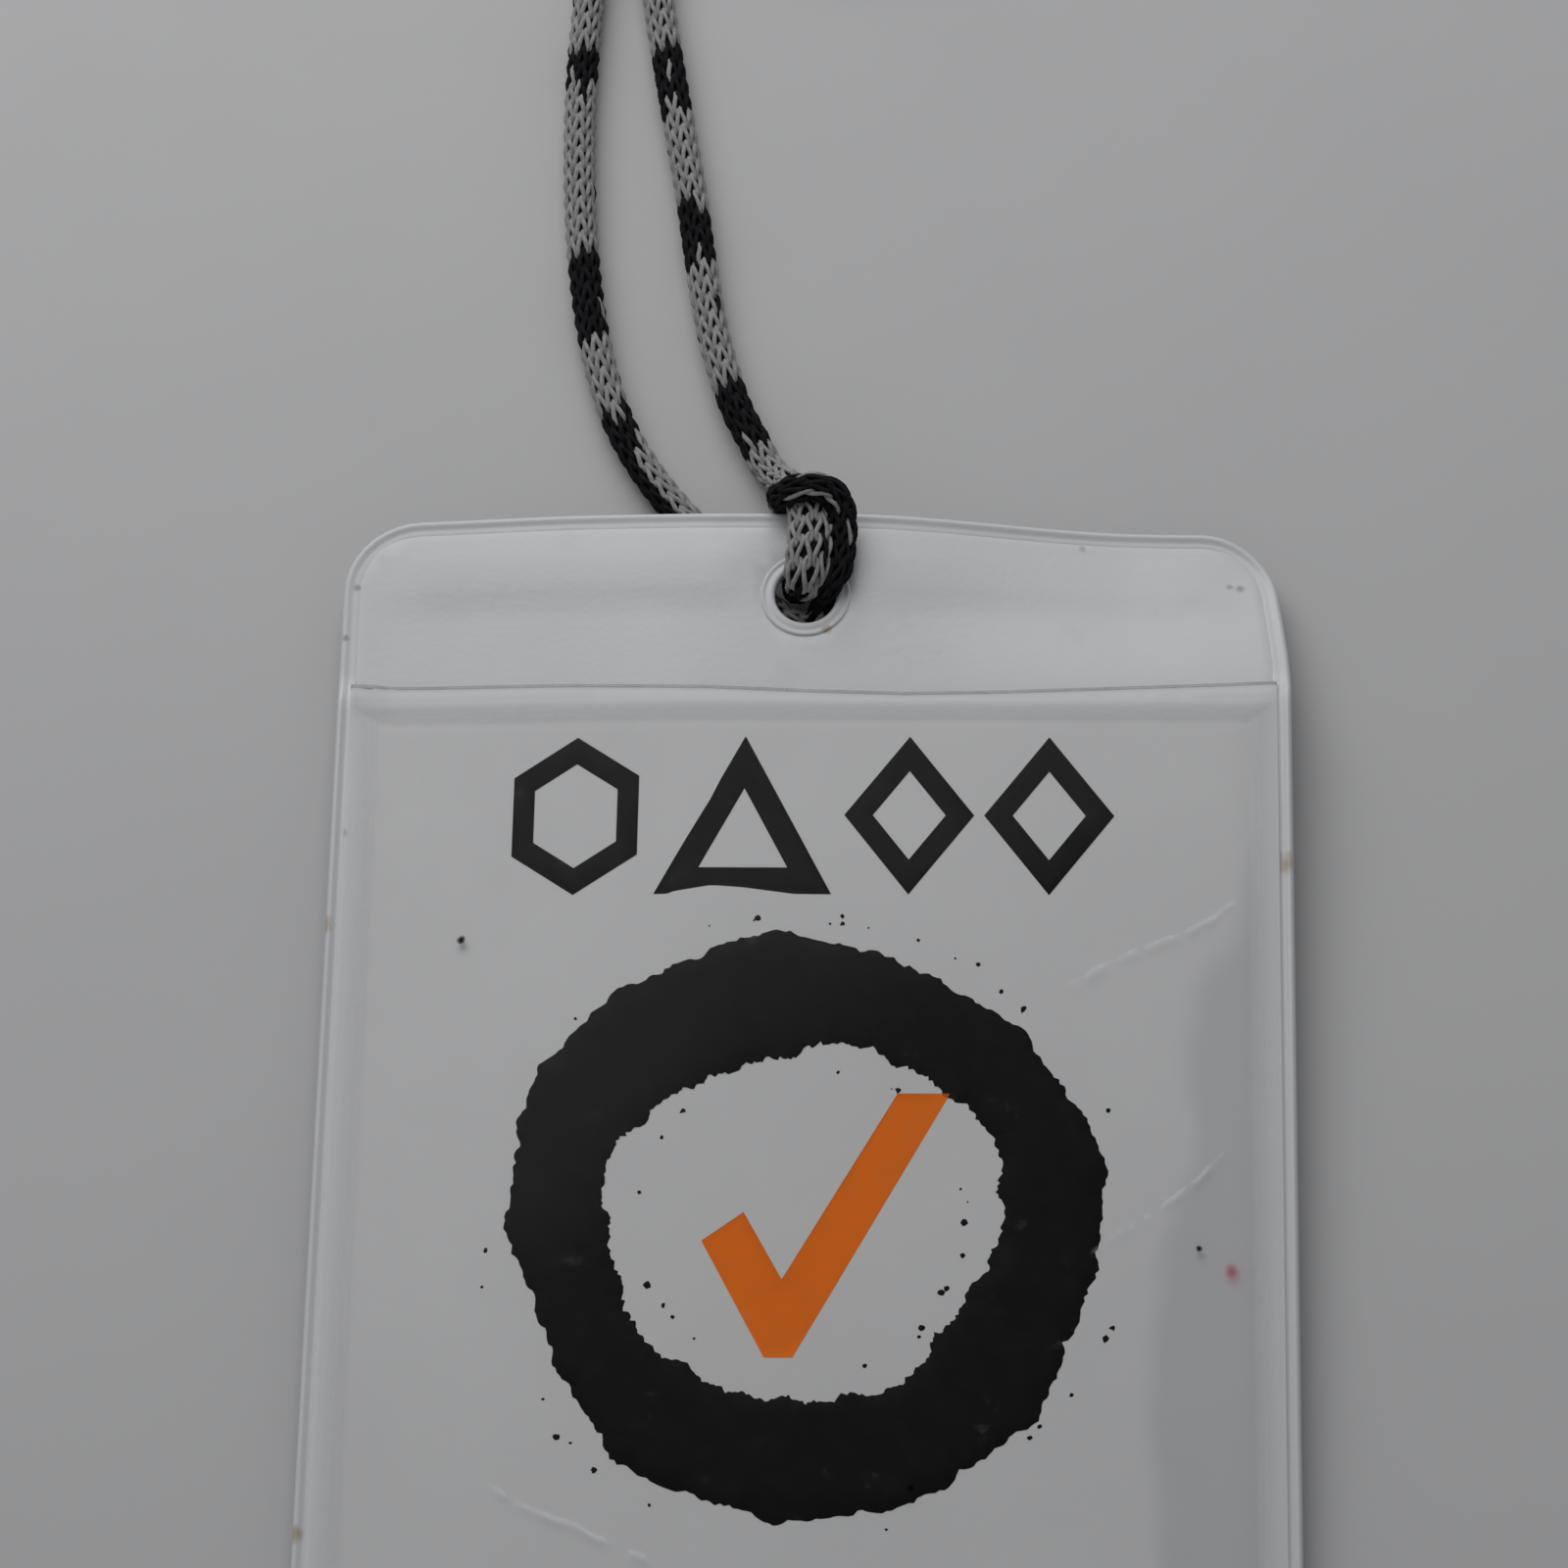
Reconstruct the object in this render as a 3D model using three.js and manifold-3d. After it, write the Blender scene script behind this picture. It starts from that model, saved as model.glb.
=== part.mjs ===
// A lanyard: a soft PVC pass holder with a printed card in its pocket, and a knitted neck cord hitched
// through the hanging hole. It lies on its back on a flat surface.
// Millimetres. +X right, +Y from the holder's foot to its hanging strip, +Z up. The origin is the middle of the
// holder's footprint, on the surface.
import * as THREE from 'three';
import { mergeVertices } from 'three/addons/utils/BufferGeometryUtils.js';
import Module from 'manifold-3d';

const wasm = await Module();
wasm.setup();

// Holder outline, measured along its own face
const HOLDER_WIDTH = 98;
const HOLDER_LENGTH = 162;
const TOP_CORNER_R = 8;
const FOOT_CORNER_R = 5;
const STRIP_HEIGHT = 19.8;
const EDGE_WELD_WIDTH = 1.6;
const CLEARANCE = 0.3;

// Layers, as heights above the back sheet's underside
const BACK_SHEET = [0, 0.4];
const STRIP_SHEET = [0.7, 1.0];
const CARD = [1.3, 1.6];
const WINDOW = [1.9, 2.2];
const STRIP_WELD = [0.7, 1.3];
const POCKET_WELD = [0.7, 2.2];
const HOLE_WELD = [0, 1.15];

// Card
const CARD_WIDTH = 94;
const CARD_LENGTH = 137.9;
const CARD_FOOT = 2.1;
const CARD_FOOT_R = 3;
const CARD_TOP_R = 1;

// Hanging hole: it is 0.9 mm left of the middle
const HOLE_R = 3.175;
const HOLE_WELD_R = 4.6;
const HOLE_X = -0.9;
const HOLE_BELOW_TOP = 9.4;

// The cord under the strip lifts the holder's top end, so that the holder leans back from its foot
const TILT = THREE.MathUtils.degToRad(1.7);

// Neck cord
const CORD_D = 3.6;
const CORD_R = CORD_D / 2;
const CORD_SIDES = 10;
const CORD_PLUG_R = 2.8;
const CORD_PLUG_TOP = 8.4;

// Folded length of the neck cord: the two strands lie side by side and wind inwards as one flat band
const STRAND_PITCH = 4.4;
const HANK_RUN = 63;
const HANK_START_Y = 100;
const HANK_BAND_X = -22.2;
const HANK_TURN_R = 19.4;
const HANK_HEIGHT = 4.5;
const WAIST_Y = 124;
const WAIST_DEPTH = 7;
const WAIST_REACH = 24;
const WAIST_STEPS = 6;

// Crimped ferrule that joins the cord's ends
const FERRULE_LENGTH = 10;
const FERRULE_BORE_R = 1.3;
const FERRULE_WIDEN = 1.3;
const FERRULE_MID = [-18.7, 84.6, CORD_R];

// Tie round the folded cord
const TIE_WIDTH = 12;
const TIE_THICKNESS = 0.8;
const TIE_GAP = 0.3;

// Routes of the cord's middle line: x and y from the hole's centre, z from the surface
const RIGHT_LEG_AND_ARCH = [
  [1.2, 0.4, 7.2],
  [3.2, 2.2, 7.9],
  [3.5, 4.8, 8.0],
  [3.6, 7.2, 8.5],
  [3.1, 9.1, 9.5],
  [0.5, 10.1, 10.4],
  [-1.5, 10.0, 9.7],
  [-2.6, 11.0, 7.6],
  [-2.6, 11.8, 5.0],
  [-1.8, 10.0, 2.3],
  [-0.9, 6.6, 1.9],
  [-0.9, 3.6, 1.9],
  [-0.9, 1.3, 2.4],
];
const LEFT_LEG = [
  [-0.5, 0.8, 7.4],
  [0.4, 3.0, 8.3],
  [0.5, 5.4, 8.4],
  [0.4, 8.0, 8.6],
  [-0.6, 10.7, 7.7],
  [-2.0, 13.2, 4.9],
  [-3.2, 14.9, 2.7],
  [-4.0, 16.0, 2.0],
  [-4.55, 17.0, CORD_R],
];
const BACK_PASS = [
  [1.2, -0.8, 2.1],
  [-1.9, -1.3, CORD_R],
  [-4.6, 0.9, CORD_R],
  [-7.4, 4.7, CORD_R],
  [-10.2, 8.0, CORD_R],
];
const RIGHT_RUN = [
  [-4.85, 17.6, CORD_R],
  [-6.0, 20.0, CORD_R],
  [-7.7, 23.4, CORD_R],
  [-9.4, 28.4, CORD_R],
  [-10.8, 33.9, CORD_R],
  [-12.1, 41.5, CORD_R],
  [-13.4, 50.0, CORD_R],
  [-14.9, 58.5, CORD_R],
  [-16.4, 67.0, CORD_R],
  [-17.7, 75.0, CORD_R],
  [-18.3, 79.3, CORD_R],
];
const LEAD_IN = [
  [-19.1, 89.9, CORD_R],
  [-19.7, 95.0, CORD_R],
  [-20.0, HANK_START_Y - CLEARANCE, CORD_R],
];
const LEFT_RUN = [
  [-10.6, 8.4, CORD_R],
  [-13.6, 11.5, CORD_R],
  [-17.2, 16.4, CORD_R],
  [-20.2, 22.0, CORD_R],
  [-22.2, 28.0, CORD_R],
  [-23.5, 33.8, CORD_R],
  [-24.6, 41.5, CORD_R],
  [-25.3, 50.0, CORD_R],
  [-25.6, 58.5, CORD_R],
  [-25.5, 67.0, CORD_R],
  [-25.1, 75.0, CORD_R],
  [-24.7, 84.0, CORD_R],
  [-24.4, 92.0, CORD_R],
  [-24.4, HANK_START_Y - CLEARANCE, CORD_R],
];

const MATERIALS = {
  whiteVinyl: { color: 0xd9dadb, roughness: 0.35, metalness: 0 },
  clearVinyl: { color: 0xe6e9ea, roughness: 0.12, metalness: 0 },
  card: { color: 0xe4e4e2, roughness: 0.6, metalness: 0 },
  yarn: { color: 0x4a4947, roughness: 0.95, metalness: 0 },
  steel: { color: 0xb8babc, roughness: 0.3, metalness: 1 },
  strap: { color: 0x1c1c1e, roughness: 0.9, metalness: 0 },
};

function part(name, geometry, look) {
  const mesh = new THREE.Mesh(geometry, new THREE.MeshStandardMaterial(MATERIALS[look]));
  mesh.name = name;
  return mesh;
}

function toSolid(geometry) {
  const bare = geometry.clone();
  bare.deleteAttribute('normal');
  bare.deleteAttribute('uv');
  const merged = mergeVertices(bare, 1e-4);
  return new wasm.Manifold(new wasm.Mesh({
    numProp: 3,
    vertProperties: Float32Array.from(merged.attributes.position.array),
    triVerts: Uint32Array.from(merged.index.array),
  }));
}

function toGeometry(solid) {
  const mesh = solid.getMesh();
  const geometry = new THREE.BufferGeometry();
  geometry.setAttribute('position', new THREE.BufferAttribute(mesh.vertProperties, 3));
  geometry.setIndex(new THREE.BufferAttribute(mesh.triVerts, 1));
  return geometry;
}

// A rectangle about x = 0 from one length along the holder to another, with its own corner radii
function panel(halfWidth, from, to, footR, topR) {
  const shape = new THREE.Shape();
  shape.moveTo(-halfWidth + footR, from);
  shape.lineTo(halfWidth - footR, from);
  if (footR > 0) shape.absarc(halfWidth - footR, from + footR, footR, -Math.PI / 2, 0);
  shape.lineTo(halfWidth, to - topR);
  if (topR > 0) shape.absarc(halfWidth - topR, to - topR, topR, 0, Math.PI / 2);
  shape.lineTo(-halfWidth + topR, to);
  if (topR > 0) shape.absarc(-halfWidth + topR, to - topR, topR, Math.PI / 2, Math.PI);
  shape.lineTo(-halfWidth, from + footR);
  if (footR > 0) shape.absarc(-halfWidth + footR, from + footR, footR, Math.PI, 1.5 * Math.PI);
  return shape;
}

function pierce(shape, radius) {
  const hole = new THREE.Path();
  hole.absarc(HOLE_X, HOLDER_LENGTH - HOLE_BELOW_TOP, radius, 0, 2 * Math.PI, true);
  shape.holes.push(hole);
  return shape;
}

function layer(shape, [low, high]) {
  const geometry = new THREE.ExtrudeGeometry(shape, { depth: high - low, bevelEnabled: false, curveSegments: 8 });
  return geometry.translate(0, 0, low);
}

// Soft sheets, their welds and the card, drawn flat and then leaned back together
const holder = new THREE.Group();
const halfWidth = HOLDER_WIDTH / 2;
const weldInside = halfWidth - EDGE_WELD_WIDTH;
const sheetEdge = weldInside - CLEARANCE;
const mouth = HOLDER_LENGTH - STRIP_HEIGHT;
const sheetInset = EDGE_WELD_WIDTH + CLEARANCE;

function backSheet() {
  const shape = panel(halfWidth, 0, HOLDER_LENGTH, FOOT_CORNER_R, TOP_CORNER_R);
  return layer(pierce(shape, HOLE_WELD_R + CLEARANCE), BACK_SHEET);
}

function stripSheet() {
  const shape = panel(sheetEdge, mouth + CLEARANCE, HOLDER_LENGTH - sheetInset, 0, TOP_CORNER_R - sheetInset);
  return layer(pierce(shape, HOLE_WELD_R + CLEARANCE), STRIP_SHEET);
}

function frontWindow() {
  return layer(panel(sheetEdge, sheetInset, mouth, FOOT_CORNER_R - sheetInset, 0), WINDOW);
}

function cardInsert() {
  return layer(panel(CARD_WIDTH / 2, CARD_FOOT, CARD_FOOT + CARD_LENGTH, CARD_FOOT_R, CARD_TOP_R), CARD);
}

// The weld round the strip: down one side, round the top and down the other
function stripWeld() {
  const foot = mouth + CLEARANCE;
  const innerR = TOP_CORNER_R - EDGE_WELD_WIDTH;
  const corner = halfWidth - TOP_CORNER_R;
  const cornerY = HOLDER_LENGTH - TOP_CORNER_R;
  const shape = new THREE.Shape();
  shape.moveTo(halfWidth, foot);
  shape.lineTo(halfWidth, cornerY);
  shape.absarc(corner, cornerY, TOP_CORNER_R, 0, Math.PI / 2);
  shape.absarc(-corner, cornerY, TOP_CORNER_R, Math.PI / 2, Math.PI);
  shape.lineTo(-halfWidth, foot);
  shape.lineTo(-weldInside, foot);
  shape.absarc(-corner, cornerY, innerR, Math.PI, Math.PI / 2, true);
  shape.absarc(corner, cornerY, innerR, Math.PI / 2, 0, true);
  shape.lineTo(weldInside, foot);
  return layer(shape, STRIP_WELD);
}

function footWeld() {
  const innerR = FOOT_CORNER_R - EDGE_WELD_WIDTH;
  const corner = halfWidth - FOOT_CORNER_R;
  const shape = new THREE.Shape();
  shape.moveTo(-halfWidth, FOOT_CORNER_R);
  shape.absarc(-corner, FOOT_CORNER_R, FOOT_CORNER_R, Math.PI, 1.5 * Math.PI);
  shape.absarc(corner, FOOT_CORNER_R, FOOT_CORNER_R, 1.5 * Math.PI, 2 * Math.PI);
  shape.lineTo(weldInside, FOOT_CORNER_R);
  shape.absarc(corner, FOOT_CORNER_R, innerR, 2 * Math.PI, 1.5 * Math.PI, true);
  shape.absarc(-corner, FOOT_CORNER_R, innerR, 1.5 * Math.PI, Math.PI, true);
  return layer(shape, POCKET_WELD);
}

function sideWeld(side) {
  const shape = panel(EDGE_WELD_WIDTH / 2, FOOT_CORNER_R + CLEARANCE, mouth, 0, 0);
  return layer(shape, POCKET_WELD).translate(side * (halfWidth - EDGE_WELD_WIDTH / 2), 0, 0);
}

function holeWeld() {
  const shape = new THREE.Shape();
  shape.absarc(HOLE_X, HOLDER_LENGTH - HOLE_BELOW_TOP, HOLE_WELD_R, 0, 2 * Math.PI);
  return layer(pierce(shape, HOLE_R), HOLE_WELD);
}

holder.add(
  part('back_sheet', backSheet(), 'whiteVinyl'),
  part('strip_sheet', stripSheet(), 'whiteVinyl'),
  part('front_window', frontWindow(), 'clearVinyl'),
  part('card_insert', cardInsert(), 'card'),
  part('strip_weld', stripWeld(), 'whiteVinyl'),
  part('side_weld_left', sideWeld(-1), 'whiteVinyl'),
  part('side_weld_right', sideWeld(1), 'whiteVinyl'),
  part('foot_weld', footWeld(), 'whiteVinyl'),
  part('hole_weld', holeWeld(), 'whiteVinyl'),
);
holder.rotation.x = TILT;
const footprintMiddle = (HOLDER_LENGTH * Math.cos(TILT) - POCKET_WELD[1] * Math.sin(TILT)) / 2;
holder.position.y = -footprintMiddle;

// Neck cord, drawn from the hole's centre
const cord = new THREE.Group();
cord.position.set(HOLE_X, (HOLDER_LENGTH - HOLE_BELOW_TOP) * Math.cos(TILT) - footprintMiddle, 0);

const cordSection = new THREE.Shape();
for (let i = 0; i < CORD_SIDES; i += 1) {
  const angle = (2 * Math.PI * (i + 0.5)) / CORD_SIDES;
  const place = [CORD_R * Math.cos(angle), CORD_R * Math.sin(angle)];
  if (i === 0) cordSection.moveTo(...place);
  else cordSection.lineTo(...place);
}

function tube(points, steps) {
  const extrudePath = new THREE.CatmullRomCurve3(points.map((p) => new THREE.Vector3(...p)));
  return new THREE.ExtrudeGeometry(cordSection, { steps, extrudePath });
}

// The hitch: two passes behind the strip, both up through the hole, and two legs over the strip's front
function hitch() {
  const plug = new THREE.CylinderGeometry(CORD_PLUG_R, CORD_PLUG_R, CORD_PLUG_TOP, 16);
  plug.rotateX(Math.PI / 2).translate(0, 0, CORD_PLUG_TOP / 2);
  return toGeometry(
    toSolid(plug)
      .add(toSolid(tube(RIGHT_LEG_AND_ARCH, 36)))
      .add(toSolid(tube(LEFT_LEG, 18)))
      .add(toSolid(tube(BACK_PASS, 6))),
  );
}

// The folded length: a flat racetrack of strands. Its lower end is one strand pair narrower than its upper end.
const hankTopR = HANK_TURN_R + STRAND_PITCH / 2 + CORD_R;
const hankFootR = hankTopR - STRAND_PITCH;
const hankMiddle = HANK_BAND_X + HANK_TURN_R;
const hankLeft = hankMiddle - hankTopR;
const hankRight = hankMiddle + hankTopR;
const hankTopY = HANK_START_Y + HANK_RUN;

// How far the tie draws each side of the hank in, at a distance along it
function waist(y) {
  const away = Math.min(Math.abs(y - WAIST_Y) / WAIST_REACH, 1);
  return WAIST_DEPTH * Math.cos((Math.PI / 2) * away) ** 2;
}

function hank() {
  const rows = [];
  for (let i = 0; i <= 2 * WAIST_STEPS; i += 1) {
    rows.push(WAIST_Y + WAIST_REACH * (i / WAIST_STEPS - 1));
  }
  const shape = new THREE.Shape();
  shape.moveTo(hankLeft, HANK_START_Y);
  rows.slice(1).forEach((y) => shape.lineTo(hankLeft + waist(y), y));
  shape.lineTo(hankLeft, hankTopY);
  shape.absarc(hankMiddle, hankTopY, hankTopR, Math.PI, 0, true);
  rows.slice(1).reverse().forEach((y) => shape.lineTo(hankRight - waist(y), y));
  shape.lineTo(hankRight, HANK_START_Y);
  shape.absarc(hankRight - hankFootR, HANK_START_Y, hankFootR, 0, -Math.PI, true);
  const body = new THREE.ExtrudeGeometry(shape, { depth: HANK_HEIGHT, bevelEnabled: false, curveSegments: 16 });
  const channelHeight = 2 * (TIE_THICKNESS + TIE_GAP);
  const channel = new THREE.BoxGeometry(4 * hankTopR, TIE_WIDTH + 2 * TIE_GAP, channelHeight);
  channel.translate(hankMiddle, WAIST_Y, 0);
  return toGeometry(toSolid(body).subtract(toSolid(channel)));
}

function tie() {
  const drawnIn = waist(WAIST_Y + TIE_WIDTH / 2);
  const inside = [
    hankLeft + drawnIn - TIE_GAP,
    hankRight - drawnIn + TIE_GAP,
    TIE_THICKNESS,
    HANK_HEIGHT + TIE_GAP,
  ];
  const box = ([left, right, low, high], path) => {
    path.moveTo(left, low);
    path.lineTo(right, low);
    path.lineTo(right, high);
    path.lineTo(left, high);
    path.closePath();
    return path;
  };
  const grow = [-TIE_THICKNESS, TIE_THICKNESS, -TIE_THICKNESS, TIE_THICKNESS];
  const shape = box(inside.map((value, i) => value + grow[i]), new THREE.Shape());
  shape.holes.push(box(inside, new THREE.Path()));
  const geometry = new THREE.ExtrudeGeometry(shape, { depth: TIE_WIDTH, bevelEnabled: false });
  return geometry.rotateX(Math.PI / 2).translate(0, WAIST_Y + TIE_WIDTH / 2, 0);
}

function ferrule() {
  const half = FERRULE_LENGTH / 2;
  const profile = [
    [FERRULE_BORE_R, -half],
    [CORD_R, -half],
    [CORD_R, half],
    [FERRULE_BORE_R, half],
    [FERRULE_BORE_R, -half],
  ].map(([r, y]) => new THREE.Vector2(r, y));
  const geometry = new THREE.LatheGeometry(profile, 16);
  geometry.scale(FERRULE_WIDEN, 1, 1);
  const lean = Math.atan2(LEAD_IN[0][0] - RIGHT_RUN.at(-1)[0], LEAD_IN[0][1] - RIGHT_RUN.at(-1)[1]);
  return geometry.rotateZ(-lean).translate(...FERRULE_MID);
}

cord.add(
  part('cord_hitch', hitch(), 'yarn'),
  part('cord_run_right', tube(RIGHT_RUN, 26), 'yarn'),
  part('cord_lead_in', tube(LEAD_IN, 3), 'yarn'),
  part('cord_run_left', tube(LEFT_RUN, 36), 'yarn'),
  part('cord_hank', hank(), 'yarn'),
  part('cord_ferrule', ferrule(), 'steel'),
  part('hank_tie', tie(), 'strap'),
);

const lanyard = new THREE.Group();
lanyard.add(holder, cord);

export default lanyard;
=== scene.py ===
"""A lanyard on a pale table: a soft PVC pass holder with a printed card, hitched to a knitted neck cord.

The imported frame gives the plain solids; this script makes every surface that is seen. Lengths are in
millimetres. The cord's places are measured from the middle of the hanging hole, and the holder's along its
own face: x across it, v up it from its foot, and w above its underside.
"""
import math

import bmesh
import bpy
import numpy as np
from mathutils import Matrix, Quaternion, Vector
from mathutils.geometry import delaunay_2d_cdt


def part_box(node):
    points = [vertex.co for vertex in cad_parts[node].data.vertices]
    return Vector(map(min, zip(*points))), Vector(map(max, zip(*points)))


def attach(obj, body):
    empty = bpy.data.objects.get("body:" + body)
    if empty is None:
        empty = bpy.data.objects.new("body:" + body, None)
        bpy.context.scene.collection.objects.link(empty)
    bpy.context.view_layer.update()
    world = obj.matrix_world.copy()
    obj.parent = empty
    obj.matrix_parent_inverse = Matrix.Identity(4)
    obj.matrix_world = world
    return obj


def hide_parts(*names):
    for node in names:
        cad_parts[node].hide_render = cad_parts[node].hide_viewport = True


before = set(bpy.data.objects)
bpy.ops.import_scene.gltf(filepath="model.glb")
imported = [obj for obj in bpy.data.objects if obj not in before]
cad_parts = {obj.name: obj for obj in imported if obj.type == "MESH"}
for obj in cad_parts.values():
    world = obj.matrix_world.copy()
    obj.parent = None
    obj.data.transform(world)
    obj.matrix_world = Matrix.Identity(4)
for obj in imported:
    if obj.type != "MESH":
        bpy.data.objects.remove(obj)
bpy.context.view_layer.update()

MM = 0.001
UP = np.array([0.0, 0.0, 1.0])

# ---------- the holder's sizes
TILT = math.radians(1.7)
HOLDER_W = 98.0
HOLDER_L = 162.0
HALF_W = HOLDER_W / 2
FULL_THICKNESS = 2.2
FACE_MIDDLE = (HOLDER_L * math.cos(TILT) - FULL_THICKNESS * math.sin(TILT)) / 2
MOUTH = HOLDER_L - 19.8
MOUTH_DIP = [
    (-47.0, -0.3), (-30.0, 0.05), (-10.5, 0.5), (0.0, 0.95), (9.5, 1.2), (19.0, 1.0), (29.0, 0.6),
    (41.0, 0.1), (47.0, -0.2),
]
TOP_CORNER_R = 8.0
FOOT_CORNER_R = 5.0
SEAM_W = 1.6
INTO_SEAM = 0.15
HOLE_X = -0.9
HOLE_V = HOLDER_L - 9.4
HOLE_R = 3.175
HOLE_SEAM_R = 4.7
CARD_W = 94.0
CARD_FOOT = 2.1
CARD_TOP = 140.0
CARD_TRAVEL = 9.0
BACK_LAYER = (0.0, 0.4)
STRIP_LAYER = (0.62, 1.0)
CARD_LAYER = (1.3, 1.6)
WINDOW_LAYER = (1.92, 2.2)
INK_THICKNESS = 0.03

hole_low, hole_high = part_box("hole_weld")
HOLE = np.array([(hole_low[0] + hole_high[0]) / 2, (hole_low[1] + hole_high[1]) / 2, 0.0])

# ---------- the neck cord's sizes and route
CORD_D = 3.6
CORD_R = CORD_D / 2
STRAND_PITCH = 4.4
HANK_RUN = 63.0
HANK_START_Y = 100.0
HANK_BAND_X = -22.2
HANK_TURN_R = 19.4
WAIST_Y = 124.0
WAIST_DEPTH = 7.0
WAIST_REACH = 24.0
TIE_WIDTH = 12.0
TIE_THICKNESS = 0.8
BIGHT_R = 8.8
FREE_CORD = 840.0
ROUTE_STEP = 0.5
FERRULE_MID = (-18.7, 84.6)
FERRULE_LENGTH = 10.0
CRIMP = 0.34

RIGHT_RUN = [
    (-1.0, 11.4, 6.7), (-2.0, 13.2, 4.7), (-3.2, 14.9, 2.7), (-4.5, 16.9, CORD_R), (-6.0, 20.0, CORD_R),
    (-7.7, 23.4, CORD_R), (-9.4, 28.4, CORD_R), (-10.8, 33.9, CORD_R), (-12.1, 41.5, CORD_R),
    (-13.4, 50.0, CORD_R), (-14.9, 58.5, CORD_R), (-16.4, 67.0, CORD_R), (-17.7, 75.0, CORD_R),
    (-18.7, 84.6, CORD_R), (-19.7, 95.0, CORD_R), (-20.0, HANK_START_Y, CORD_R),
]
LEFT_RUN = [
    (-9.6, 7.3, CORD_R), (-13.6, 11.5, CORD_R), (-17.2, 16.4, CORD_R), (-20.2, 22.0, CORD_R),
    (-22.2, 28.0, CORD_R), (-23.5, 33.8, CORD_R), (-24.6, 41.5, CORD_R), (-25.3, 50.0, CORD_R),
    (-25.6, 58.5, CORD_R), (-25.5, 67.0, CORD_R), (-25.1, 75.0, CORD_R), (-24.7, 84.0, CORD_R),
    (-24.4, 92.0, CORD_R), (-24.4, HANK_START_Y, CORD_R),
]
# The hitch, from behind the strip to under the arch: x, y, z, then how wide and how high the cord is squeezed
HITCH = [
    (-9.6, 7.3, CORD_R, 1, 1), (-7.4, 4.7, CORD_R, 1, 1), (-4.6, 0.9, CORD_R, 1, 1),
    (-1.9, -1.3, CORD_R, 1, 1), (0.6, -1.7, 2.1, 0.95, 1), (1.8, -0.3, 3.9, 0.7, 0.9),
    (2.0, 0.3, 5.5, 0.75, 0.9), (2.6, 1.0, 6.7, 0.85, 0.85), (3.3, 2.4, 7.2, 0.95, 0.82),
    (3.5, 4.8, 7.4, 1, 0.85), (3.6, 7.2, 8.1, 1, 0.9), (3.2, 9.1, 9.3, 0.95, 0.9),
    (2.1, 9.9, 10.1, 0.9, 0.88), (0.5, 10.1, 10.4, 0.88, 0.86), (-1.3, 10.0, 9.8, 0.9, 0.88),
    (-2.4, 10.4, 7.8, 0.95, 0.9), (-2.6, 11.4, 5.0, 0.95, 0.95), (-1.8, 10.0, 2.3, 1, 1),
    (-0.9, 6.6, 1.9, 1, 1), (-0.9, 3.6, 1.9, 1, 1), (-1.1, 2.0, 2.5, 0.85, 0.95),
    (-0.9, 1.3, 4.4, 0.78, 0.9), (-0.2, 1.1, 6.3, 1.25, 0.9), (0.1, 1.7, 7.7, 1.45, 0.8),
    (0.35, 3.1, 8.5, 1.45, 0.74), (0.45, 5.4, 8.7, 1.43, 0.74), (0.3, 8.0, 8.3, 1.35, 0.75),
    (-1.0, 11.4, 6.7, 1, 0.95),
]
# The hitch's yarn is black from the height where its first leg lifts, flecked from the height where that leg
# turns over the front, and grey from the height where its second leg comes out of the hole
HITCH_BLACK_Z = 1.85
HITCH_FLECKED_Z = 6.8
HITCH_GREY_Z = 5.0
SECOND_LEG_AFTER = 45.0


# ---------- small tools
def ease(t):
    t = np.clip(t, 0, 1)
    return t * t * (3 - 2 * t)


def rise(value, start, end):
    """0 up to start, 1 from end on, and an eased slope between them."""
    return ease((value - start) / (end - start))


def length_along(points):
    return np.concatenate([[0.0], np.cumsum(np.linalg.norm(np.diff(points[:, :3], axis=0), axis=1))])


def unit(vectors):
    return vectors / np.linalg.norm(vectors, axis=1)[:, None]


def angles_round(count):
    return np.linspace(0, 2 * math.pi, count, endpoint=False)


def resample(points, step):
    """The same line, with points a step apart; any further columns are carried along."""
    s = length_along(points)
    even = np.linspace(0, s[-1], max(2, int(round(s[-1] / step)) + 1))
    return np.stack([np.interp(even, s, points[:, k]) for k in range(points.shape[1])], axis=1)


def spline(points, step=ROUTE_STEP):
    """Points a step apart along a centripetal Catmull-Rom curve through the given points."""
    p = np.asarray(points, float)
    p = np.vstack([2 * p[0] - p[1], p, 2 * p[-1] - p[-2]])
    fine = []
    for i in range(1, len(p) - 2):
        a, b, c, d = p[i - 1:i + 3]
        gaps = [np.linalg.norm(v[:3] - u[:3]) for u, v in ((a, b), (b, c), (c, d))]
        k = np.cumsum([0] + [max(gap, 1e-6) ** 0.5 for gap in gaps])
        t = np.linspace(k[1], k[2], 24, endpoint=False)[:, None]
        ab = ((k[1] - t) * a + (t - k[0]) * b) / (k[1] - k[0])
        bc = ((k[2] - t) * b + (t - k[1]) * c) / (k[2] - k[1])
        cd = ((k[3] - t) * c + (t - k[2]) * d) / (k[3] - k[2])
        abc = ((k[2] - t) * ab + (t - k[0]) * bc) / (k[2] - k[0])
        bcd = ((k[3] - t) * bc + (t - k[1]) * cd) / (k[3] - k[1])
        fine.append(((k[2] - t) * abc + (t - k[1]) * bcd) / (k[2] - k[1]))
    fine.append(p[-2:-1])
    return resample(np.vstack(fine), step)


def to_world(points):
    return np.asarray(points, float)[..., :3] * MM + HOLE


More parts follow.
